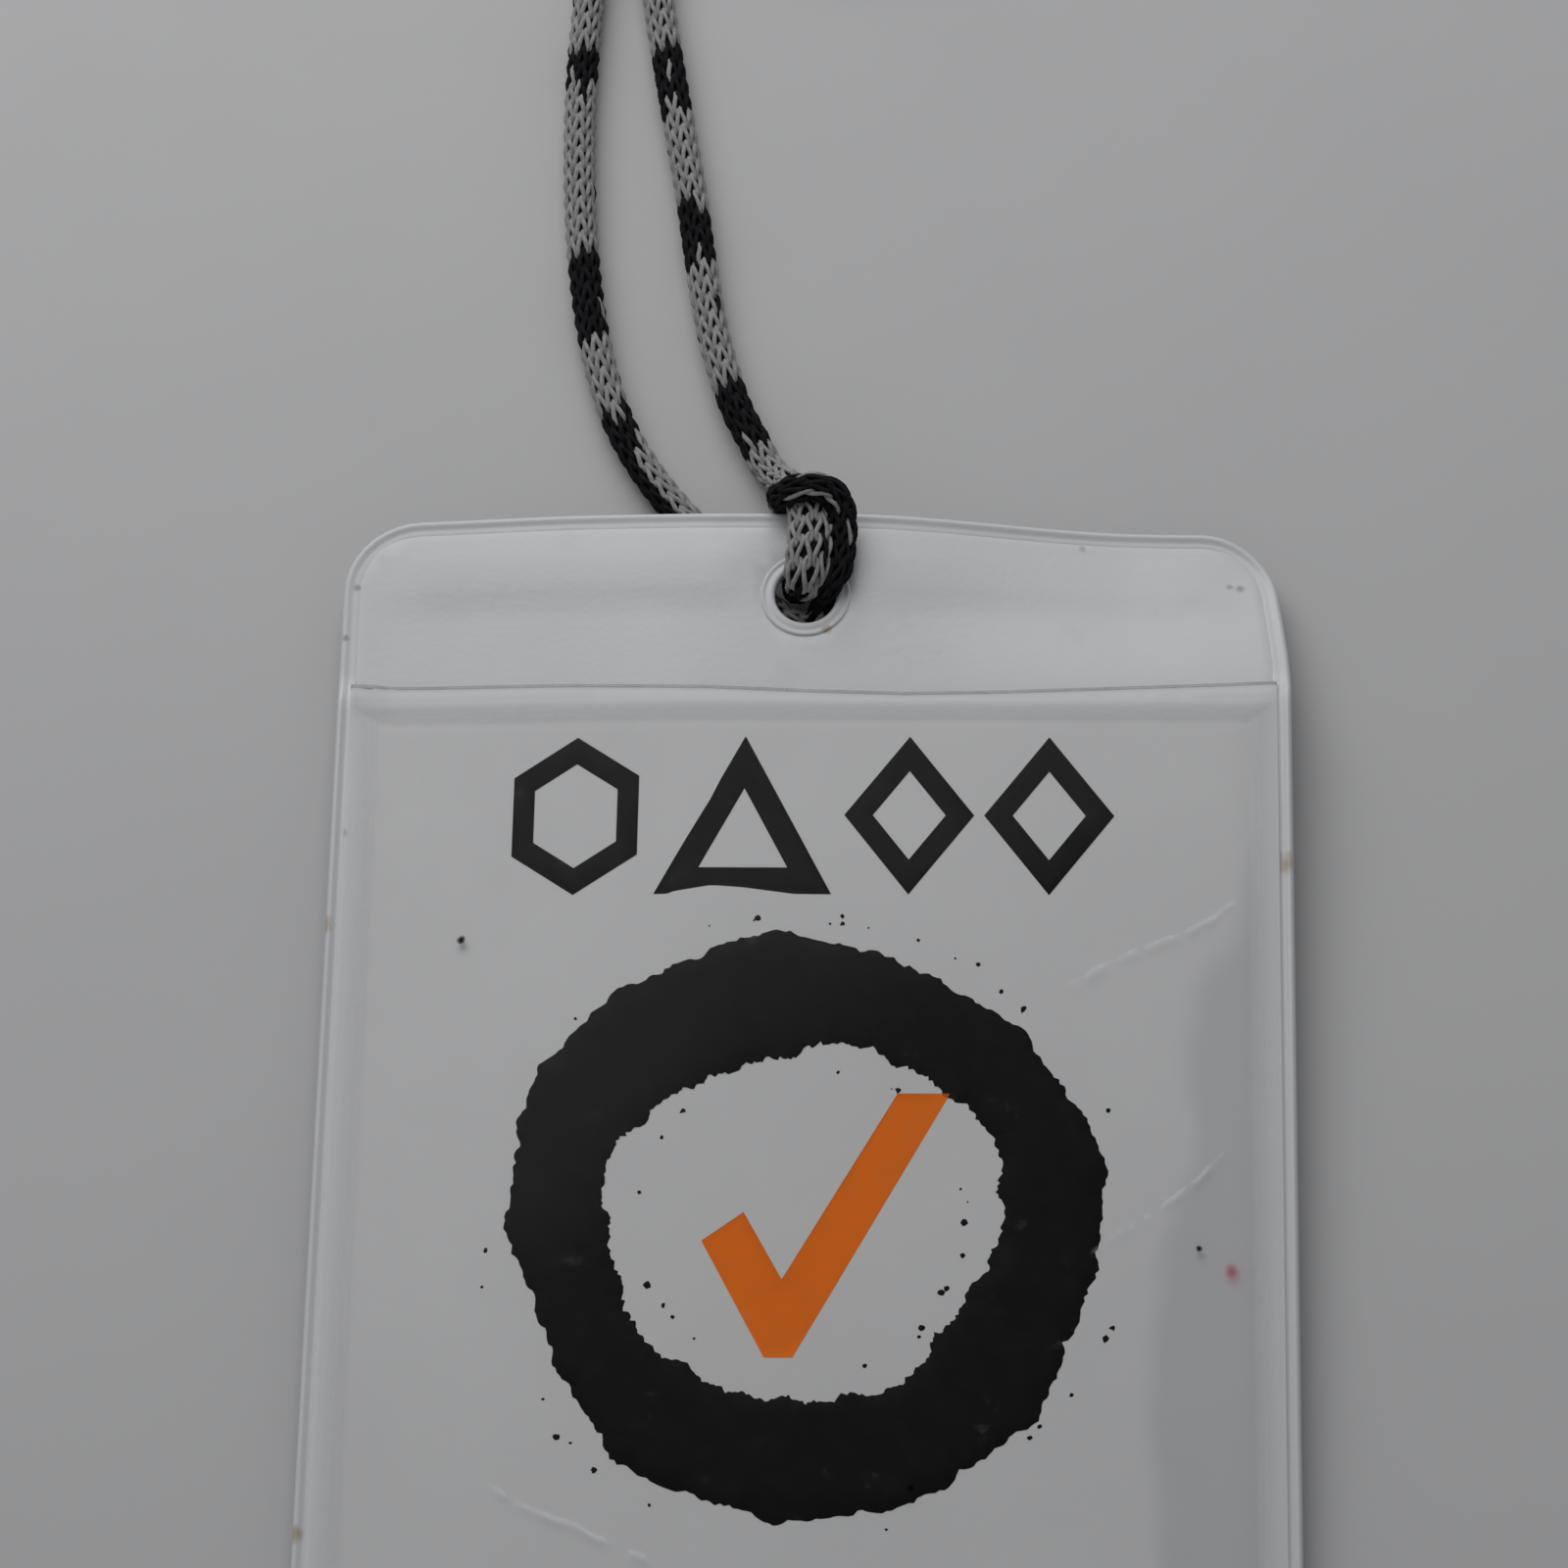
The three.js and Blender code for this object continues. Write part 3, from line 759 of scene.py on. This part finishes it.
# Round the hanging hole: radius and height, from the underside outwards over the top
HOLE_SECTION = [
    (4.55, 0.05), (3.45, 0.0), (3.2, 0.12), (HOLE_R, 0.6), (3.2, 1.05), (3.34, 1.22), (3.6, 1.27),
    (3.9, 1.16), (4.1, 1.1), (4.28, 1.16), (4.42, 1.24), (4.56, 1.2), (4.66, 1.08), (HOLE_SEAM_R, 0.9),
]


def make_hole_seam(white):
    sides = 72
    angle = angles_round(sides)
    rings = []
    for r, w in HOLE_SECTION:
        rings.append(place(HOLE_X + r * np.cos(angle), HOLE_V + r * np.sin(angle), w))
    verts = np.stack(rings, axis=1).reshape(-1, 3)
    mesh = build_mesh("hole_seam", verts, tube_quads(sides, len(HOLE_SECTION), closed=True))
    add_piece(mesh, [white], "holder", ("hole_weld",))


# ---------- card and print
def make_card(card):
    outline = rounded_outline(CARD_W / 2, CARD_FOOT, CARD_TOP, foot_r=3, top_r=1)
    mesh = slab("printed_card", outline, [], CARD_LAYER, spacing=3.5, rounding=0.08)
    add_piece(mesh, [card], "card", ("card_insert",))


def ink_layer(name, shapes, ink, spacing=2.5):
    """Printed ink as one thin raised film on the card. A shape is its outline, then those cut out of it."""
    low, high = CARD_LAYER[1], CARD_LAYER[1] + INK_THICKNESS
    verts, faces, start = [], [], 0
    for loops in shapes:
        part = slab(name + "_part", loops[0], loops[1:], (low, high), spacing=spacing, rounding=0.01)
        count = len(part.vertices)
        co = np.empty(count * 3, np.float32)
        part.vertices.foreach_get("co", co)
        corners = np.empty(len(part.loops), np.int32)
        part.loops.foreach_get("vertex_index", corners)
        verts.append(co.reshape(-1, 3))
        faces.append(corners.reshape(-1, 3) + start)
        start += count
        bpy.data.meshes.remove(part)
    add_piece(build_mesh(name, np.vstack(verts), np.vstack(faces)), [ink], "card")


def from_hole(points):
    """Outline points given from the hanging hole, on the holder's face."""
    return np.asarray(points, float) + np.array([HOLE_X, HOLE_V])


def polygon(cx, cy, half_w, half_h, corners, start=90):
    angle = np.radians(start + np.arange(corners) * 360 / corners)
    return np.stack([cx + half_w * np.cos(angle), cy + half_h * np.sin(angle)], axis=1)


# The heading's framed shapes: middle, half width, half height, number of corners, and how much is cut out
HEADING = [
    ((-23.0, -24.9), 7.4, 8.7, 6, 0.66), ((-5.8, -27.8), 10.4, 11.6, 3, 0.5),
    ((11.0, -24.9), 6.6, 8.7, 4, 0.56), ((25.2, -24.9), 6.6, 8.7, 4, 0.56),
]


def make_heading(ink):
    """A row of four plain framed shapes: a hexagon, a triangle and two lozenges."""
    shapes = []
    for (cx, cy), half_w, half_h, corners, cut in HEADING:
        outer = from_hole(polygon(cx, cy, half_w, half_h, corners))
        inner = from_hole(polygon(cx, cy, half_w * cut, half_h * cut, corners))
        shapes.append([outer, inner])
    ink_layer("print_heading", shapes, ink)


def ragged_ring(cx, cy, radius, rough, rng, sides=420):
    """A closed outline near a circle, with an uneven, torn-looking edge."""
    angle = angles_round(sides)
    r = np.full(sides, float(radius))
    for wave in (2, 3, 5, 8, 13, 21, 34, 55, 89):
        r += rough * wave ** -0.62 * rng.uniform(0.4, 1) * np.sin(wave * angle + rng.uniform(0, 2 * math.pi))
    r += rng.normal(0, 0.11, sides)
    return np.stack([cx + r * np.cos(angle), cy + r * np.sin(angle)], axis=1)


RING_MIDDLE = (1.0, -68.5)
RING_OUTER_R = 29.8
RING_INNER_R = 19.0
RING_ROUGH = 1.5
RING_SPECKS = 46


def make_ragged_ring(ink):
    """A plain ring with a rough edge, and a few loose specks of ink outside and inside it."""
    rng = np.random.default_rng(21)
    cx, cy = RING_MIDDLE
    outer = from_hole(ragged_ring(cx, cy, RING_OUTER_R, RING_ROUGH, rng))
    inner = from_hole(ragged_ring(cx, cy, RING_INNER_R, RING_ROUGH, rng))
    shapes = [[outer, inner]]
    for _ in range(RING_SPECKS):
        angle = rng.uniform(0, 2 * math.pi)
        if rng.random() < 0.6:
            away = RING_OUTER_R + 1.4 + abs(rng.normal(0, 1.3))
        else:
            away = RING_INNER_R - 2.2 - abs(rng.normal(0, 0.8))
        size = rng.uniform(0.08, 0.4)
        speck = circle(cx + away * math.cos(angle), cy + away * math.sin(angle), size, 7)
        shapes.append([from_hole(speck + rng.normal(0, size * 0.18, speck.shape))])
    ink_layer("print_ring", shapes, ink)


def make_tick(ink):
    """A plain orange tick."""
    points = [(-9, -70.6), (-4.9, -67.6), (-1, -74.6), (10.2, -55), (15.4, -55), (0.2, -82.6), (-2.6, -82.6)]
    ink_layer("print_tick", [[from_hole(points)]], ink)


# ---------- materials
class Nodes:
    """Short names for the node calls that the materials share."""

    def __init__(self, name):
        self.material = bpy.data.materials.new(name)
        self.material.use_nodes = True
        self.tree = self.material.node_tree
        self.shader = self.tree.nodes["Principled BSDF"]
        self.place = self.add("ShaderNodeTexCoord").outputs["Object"]

    def add(self, kind, **settings):
        node = self.tree.nodes.new(kind)
        for key, value in settings.items():
            if key in node.inputs:
                node.inputs[key].default_value = value
            else:
                setattr(node, key, value)
        return node

    def link(self, source, target):
        self.tree.links.new(source, target)

    def set(self, **values):
        """Sets the shader's sockets, each to a number or to a node's output."""
        for key, value in values.items():
            socket = self.shader.inputs[key.replace("_", " ")]
            if isinstance(value, (int, float)):
                socket.default_value = value
            else:
                self.link(value, socket)

    def noise(self, scale, detail=3.0, roughness=0.5):
        node = self.add("ShaderNodeTexNoise", Scale=scale, Detail=detail, Roughness=roughness)
        self.link(self.place, node.inputs["Vector"])
        return node.outputs["Fac"]

    def between(self, value, low, high, out_low=0.0, out_high=1.0):
        node = self.add("ShaderNodeMapRange")
        self.link(value, node.inputs["Value"])
        for key, number in zip(("From Min", "From Max", "To Min", "To Max"), (low, high, out_low, out_high)):
            node.inputs[key].default_value = number
        return node.outputs["Result"]

    def math(self, operation, a, b):
        node = self.add("ShaderNodeMath", operation=operation)
        for socket, value in zip(node.inputs, (a, b)):
            if isinstance(value, (int, float)):
                socket.default_value = value
            else:
                self.link(value, socket)
        return node.outputs[0]

    def mix(self, factor, a, b):
        """Colour a turning into colour b as the factor goes from 0 to 1."""
        node = self.add("ShaderNodeMix", data_type="RGBA")
        for socket, value in ((node.inputs[0], factor), (node.inputs[6], a), (node.inputs[7], b)):
            if isinstance(value, (int, float)):
                socket.default_value = value
            elif isinstance(value, tuple):
                socket.default_value = (*value, 1.0)
            else:
                self.link(value, socket)
        return node.outputs[2]

    def bump(self, height, strength, distance):
        node = self.add("ShaderNodeBump", Strength=strength, Distance=distance)
        self.link(height, node.inputs["Height"])
        return node.outputs["Normal"]

    def spot(self, x, v, w, size, soft=0.5):
        """1 at a point on the holder's face, 0 further off than size, with an uneven edge."""
        node = self.add("ShaderNodeVectorMath", operation="DISTANCE")
        self.link(self.place, node.inputs[0])
        node.inputs[1].default_value = tuple(place(x + HOLE_X, v + HOLE_V, w))
        rough = self.between(self.noise(900.0), 0.3, 0.7, -0.35, 0.35)
        far = self.math("ADD", self.math("DIVIDE", node.outputs["Value"], size * MM), rough)
        return self.between(far, 1 - soft, 1 + soft, 1.0, 0.0)


# Small marks on the holder, each given from the hanging hole: x, v, height above the underside, and size
YELLOWED = [(-48.4, -36.8, 2.2, 0.9), (49, -30.1, 2.2, 0.9), (2.2, -3.9, 1.2, 0.42), (-47.9, -101, 2.2, 0.8)]
GREY_MARKS = [
    (46.0, 2.3, 1.0, 0.4), (44.9, 2.5, 1.0, 0.35), (-46.6, 1.9, 1.1, 0.35), (-47.6, -3.9, 1.3, 0.35),
    (28.6, 7.3, 1.3, 0.4), (-32.5, -10.9, 1.2, 0.3), (-43.0, -11.1, 1.2, 0.25),
]
FILM_W = 2.3
FILM_SPECKS = [
    (-34.1, -38.6, 0.34), (-46.8, -26.6, 0.34), (40.0, -71.3, 0.26), (12.0, -96.0, 0.3), (-30.0, -120.0, 0.3),
]
PINK_SPECK = (43.3, -73.6, 0.6)
SCRATCHES = [((26.7, -44.0), (45.4, -33.9)), ((29.1, -71.9), (43.2, -61.1)), ((-30.0, -96.0), (6.0, -112.0))]


def white_vinyl():
    """Soft white PVC: a faint grain, greyer handling marks, and a few yellowed and grey spots."""
    n = Nodes("white_vinyl")
    base = n.mix(n.between(n.noise(28.0), 0.35, 0.7), (0.70, 0.711, 0.73), (0.67, 0.681, 0.70))
    base = n.mix(n.between(n.noise(160.0, 5.0), 0.62, 0.8, 0.0, 0.25), base, (0.52, 0.53, 0.53))
    yellow, grey = (0.36, 0.25, 0.09), (0.12, 0.12, 0.12)
    for marks, strength, colour in ((YELLOWED, 0.6, yellow), (GREY_MARKS, 0.55, grey)):
        for x, v, w, size in marks:
            base = n.mix(n.math("MULTIPLY", n.spot(x, v, w, size), strength), base, colour)
    rough = n.between(n.noise(70.0, 4.0), 0.3, 0.75, 0.3, 0.48)
    n.set(Base_Color=base, Roughness=rough, Normal=n.bump(n.noise(1400.0, 3.0), 0.12, 0.0002), IOR=1.53)
    return n.material


def right_dark_patch(n, across, along):
    """1 over the card's right side, right of a wandering line, and less at the weld; the film's tint is
    darker there.
    """
    x = n.math("ADD", across, n.between(n.noise(30.0, 3.0), 0.3, 0.7, -0.004, 0.004))
    edge = n.between(along, 0.0, 0.062, 0.0358, 0.0455)
    right_darkening = n.between(n.math("SUBTRACT", x, edge), -0.0008, 0.0016)
    return n.math("MULTIPLY", right_darkening, n.between(across, 0.0445, 0.0475, 1.0, 0.35))


def film_tint(n, across, along):
    """What light through the film keeps: nearly all of it, less over the card's right side, and little at a
    speck.
    """
    # A darker tint over the card's right side, right of a wandering line
    tint = n.mix(right_dark_patch(n, across, along), (0.99, 0.99, 0.991), (0.95, 0.951, 0.958))
    for x, v, size in FILM_SPECKS:
        tint = n.mix(n.spot(x, v, FILM_W, size), tint, (0.05, 0.05, 0.05))
    x, v, size = PINK_SPECK
    return n.mix(n.math("MULTIPLY", n.spot(x, v, FILM_W, size), 0.6), tint, (0.9, 0.35, 0.45))


def film_haze(n, across, along):
    """How cloudy the film is: scuffs and scratches, and a haze over the strip and by the side welds."""
    scuff = n.between(n.noise(240.0, 6.0, 0.7), 0.62, 0.9, 0.0, 0.05)
    scuff = n.math("ADD", scuff, n.math("MULTIPLY", scratches(n), 0.22))
    card_top = float(place(0, CARD_TOP, WINDOW_LAYER[1])[1])
    over_strip = n.between(along, card_top - 0.0018, card_top + 0.0004, 0.002, 0.62)
    at_sides = n.between(n.math("ABSOLUTE", across, 0.0), 0.0444, 0.047, 0.002, 0.55)
    return n.math("ADD", scuff, n.math("MAXIMUM", over_strip, at_sides))


def clear_vinyl():
    """Clear PVC film: mostly see-through, with a slight haze, and gloss that grows at low angles."""
    n = Nodes("clear_vinyl")
    split = n.add("ShaderNodeSeparateXYZ")
    n.link(n.place, split.inputs["Vector"])
    across, along = split.outputs["X"], split.outputs["Y"]
    clear = n.add("ShaderNodeBsdfTransparent")
    n.link(film_tint(n, across, along), clear.inputs["Color"])
    haze = n.add("ShaderNodeBsdfDiffuse", Color=(0.93, 0.935, 0.95, 1.0))
    gloss = n.add("ShaderNodeBsdfAnisotropic", Roughness=0.12)
    facing = n.add("ShaderNodeLayerWeight", Blend=0.5).outputs["Facing"]
    mirror = n.between(n.math("POWER", facing, 5.0), 0.0, 1.0, 0.0025, 0.5)
    surface = clear.outputs[0]
    for amount, layer in ((film_haze(n, across, along), haze), (mirror, gloss)):
        mixed = n.add("ShaderNodeMixShader")
        n.link(amount, mixed.inputs[0])
        n.link(surface, mixed.inputs[1])
        n.link(layer.outputs[0], mixed.inputs[2])
        surface = mixed.outputs[0]
    n.link(surface, n.tree.nodes["Material Output"].inputs["Surface"])
    n.tree.nodes.remove(n.shader)
    return n.material


def lip_vinyl_painted_shade():
    """Clear PVC where it is thick and cut: its grey is painted shade for the dark line along the cut edge,
    with real dirt caught along it.
    """
    n = Nodes("lip_vinyl_painted_shade")
    # Painted shade: this grey base colour stands for the dark line along the cut edge; the darkest flecks
    # below are dirt
    base = n.mix(n.between(n.noise(260.0, 4.0), 0.45, 0.8), (0.5, 0.5, 0.5), (0.4, 0.4, 0.38))
    base = n.mix(n.between(n.noise(900.0, 3.0), 0.7, 0.76), base, (0.16, 0.16, 0.14))
    n.set(Base_Color=base, Roughness=n.between(n.noise(400.0), 0.3, 0.7, 0.15, 0.35), Alpha=0.5)
    return n.material


def scratch(n, start, end):
    """One long faint broken scratch between two places on the window: 1 on it, 0 off it."""
    mapping = n.add("ShaderNodeMapping", vector_type="TEXTURE")
    mapping.inputs["Location"].default_value = tuple(start)
    mapping.inputs["Rotation"].default_value = (0, 0, math.atan2(end[1] - start[1], end[0] - start[0]))
    n.link(n.place, mapping.inputs["Vector"])
    split = n.add("ShaderNodeSeparateXYZ")
    n.link(mapping.outputs[0], split.inputs["Vector"])
    sway = n.between(n.noise(90.0, 2.0), 0.3, 0.7, -0.0007, 0.0007)
    off = n.math("ABSOLUTE", n.math("ADD", split.outputs["Y"], sway), 0.0)
    line = n.between(off, 0.00008, 0.0003, 1.0, 0.0)
    length, fade = float(np.hypot(*(end - start)[:2])), 0.003
    starts = n.between(split.outputs["X"], 0, fade)
    stops = n.between(split.outputs["X"], length - fade, length, 1.0, 0.0)
    broken = n.between(n.noise(700.0, 2.0), 0.4, 0.55)
    return n.math("MULTIPLY", n.math("MULTIPLY", line, n.math("MULTIPLY", starts, stops)), broken)


def scratches(n):
    total = None
    for (x0, v0), (x1, v1) in SCRATCHES:
        ends = place([x0 + HOLE_X, x1 + HOLE_X], [v0 + HOLE_V, v1 + HOLE_V], [FILM_W, FILM_W])
        line = scratch(n, *ends)
        total = line if total is None else n.math("MAXIMUM", total, line)
    return total


def card_stock():
    """White card with a fine fibre mottle."""
    n = Nodes("card_stock")
    base = n.mix(n.between(n.noise(45.0, 4.0), 0.35, 0.7), (0.705, 0.705, 0.709), (0.68, 0.68, 0.685))
    rough = n.between(n.noise(300.0, 3.0), 0.3, 0.7, 0.5, 0.62)
    n.set(Base_Color=base, Roughness=rough, Normal=n.bump(n.noise(2600.0, 4.0), 0.1, 0.00008))
    return n.material


def ink(name, colour, worn):
    """Flat printed ink, a little uneven where it sank into the card."""
    n = Nodes(name)
    base = n.mix(n.between(n.noise(420.0, 5.0), 0.45, 0.8), colour, worn)
    rough = n.between(n.noise(130.0), 0.3, 0.7, 0.45, 0.6)
    grain = n.bump(n.noise(2600.0, 4.0), 0.08, 0.00006)
    n.set(Base_Color=base, Roughness=rough, Normal=grain, Specular_IOR_Level=0.08)
    return n.material


def yarn(name, colour, shade):
    """Brushed acrylic yarn: fine fibres across and along it, and patches a little lighter or darker."""
    n = Nodes(name)
    base = n.mix(n.between(n.noise(1500.0, 4.0), 0.35, 0.7), colour, shade)
    fibres = n.bump(n.noise(5200.0, 3.0), 0.5, 0.0001)
    n.set(Base_Color=base, Normal=fibres, Roughness=0.9, Specular_IOR_Level=0.08)
    return n.material


def crimp_steel():
    """Plated steel with fine scratches and duller crimp marks."""
    n = Nodes("crimp_steel")
    base = n.mix(n.between(n.noise(500.0, 5.0), 0.4, 0.75), (0.62, 0.62, 0.61), (0.44, 0.43, 0.41))
    rough = n.between(n.noise(900.0, 4.0), 0.3, 0.75, 0.22, 0.5)
    n.set(Base_Color=base, Roughness=rough, Normal=n.bump(n.noise(2500.0, 3.0), 0.15, 0.00008), Metallic=1.0)
    return n.material


def strap_nylon():
    """Black hook-and-loop tape: a woven ground under short loops."""
    n = Nodes("strap")
    weave = n.add("ShaderNodeTexWave", Scale=420.0, Distortion=2.0, bands_direction="DIAGONAL")
    n.link(n.place, weave.inputs["Vector"])
    base = n.mix(n.between(n.noise(1800.0, 4.0), 0.35, 0.75), (0.012, 0.012, 0.014), (0.05, 0.05, 0.055))
    height = n.math("ADD", n.math("MULTIPLY", weave.outputs["Fac"], 0.5), n.noise(3200.0, 4.0))
    n.set(Base_Color=base, Normal=n.bump(height, 0.7, 0.0002), Roughness=0.85, Sheen_Weight=0.2)
    return n.material


def table_top():
    """A pale satin table with faint marks."""
    n = Nodes("table_top")
    base = n.mix(n.between(n.noise(6.0, 4.0), 0.35, 0.7), (0.60, 0.60, 0.605), (0.575, 0.575, 0.585))
    base = n.mix(n.between(n.noise(90.0, 6.0), 0.68, 0.85, 0.0, 0.25), base, (0.5, 0.5, 0.5))
    n.set(Base_Color=base, Roughness=n.between(n.noise(40.0), 0.3, 0.7, 0.5, 0.6), Specular_IOR_Level=0.3)
    return n.material


# ---------- table and light
TABLE_HALF = 1.5
BELOW_THE_CORD = 0.00005
WALLS = 0.292
CEILING = 0.05
CEILING_FROM = (0.7, 0.85)
ROOM_COLOUR = (0.97, 0.985, 1.0, 1.0)
WINDOW_PLACE = (-0.16, 0.47, 0.45)
WINDOW_SIZE = 0.7
WINDOW_POWER = 2.36


def make_stage():
    corners = [(-TABLE_HALF, -TABLE_HALF, 0), (TABLE_HALF, -TABLE_HALF, 0)]
    corners += [(TABLE_HALF, TABLE_HALF, 0), (-TABLE_HALF, TABLE_HALF, 0)]
    table = bpy.data.objects.new("table", build_mesh("table", corners, [(0, 1, 2, 3)]))
    table.data.materials.append(table_top())
    table.location.z = -BELOW_THE_CORD
    bpy.context.scene.collection.objects.link(table)


def light_room():
    """Soft light from all round below a dark ceiling."""
    world = bpy.data.worlds.new("room")
    world.use_nodes = True
    tree = world.node_tree
    direction = tree.nodes.new("ShaderNodeTexCoord")
    split = tree.nodes.new("ShaderNodeSeparateXYZ")
    height = tree.nodes.new("ShaderNodeMapRange")
    tree.links.new(direction.outputs["Generated"], split.inputs["Vector"])
    tree.links.new(split.outputs["Z"], height.inputs["Value"])
    for socket, value in zip(("From Min", "From Max", "To Min", "To Max"), (*CEILING_FROM, WALLS, CEILING)):
        height.inputs[socket].default_value = value
    background = tree.nodes["Background"]
    background.inputs["Color"].default_value = ROOM_COLOUR
    tree.links.new(height.outputs["Result"], background.inputs["Strength"])
    bpy.context.scene.world = world
    bpy.context.scene.view_settings.view_transform = "Standard"


def light_window():
    """A round soft window beyond the holder's top, facing the middle of the table."""
    light = bpy.data.lights.new("window", "AREA")
    light.shape = "DISK"
    light.size = WINDOW_SIZE
    light.energy = WINDOW_POWER
    lamp = bpy.data.objects.new("window", light)
    lamp.location = WINDOW_PLACE
    lamp.rotation_mode = "QUATERNION"
    lamp.rotation_quaternion = (-Vector(WINDOW_PLACE)).to_track_quat("-Z", "Y")
    bpy.context.scene.collection.objects.link(lamp)


# ---------- put together
place_camera()
YARNS = [
    yarn("yarn_black", (0.009, 0.0085, 0.010), (0.022, 0.021, 0.024)),
    yarn("yarn_grey", (0.4, 0.39, 0.388), (0.27, 0.263, 0.26)),
]
WHITE = white_vinyl()
FILM = clear_vinyl()
CARD = card_stock()
BLACK_INK = ink("black_ink", (0.004, 0.0035, 0.004), (0.007, 0.0065, 0.007))
ORANGE_INK = ink("orange_ink", (0.98, 0.2, 0.012), (0.9, 0.19, 0.02))

make_ferrule(crimp_steel())
make_strap(strap_nylon())
make_neck_cord(YARNS)
make_hitch(YARNS)
make_back_sheet(WHITE)
make_strip(WHITE)
make_window(FILM)
make_mouth_lip(lip_vinyl_painted_shade())
make_seam(WHITE)
make_hole_seam(WHITE)
make_card(CARD)
make_heading(BLACK_INK)
make_ragged_ring(BLACK_INK)
make_tick(ORANGE_INK)
make_stage()
light_room()
light_window()
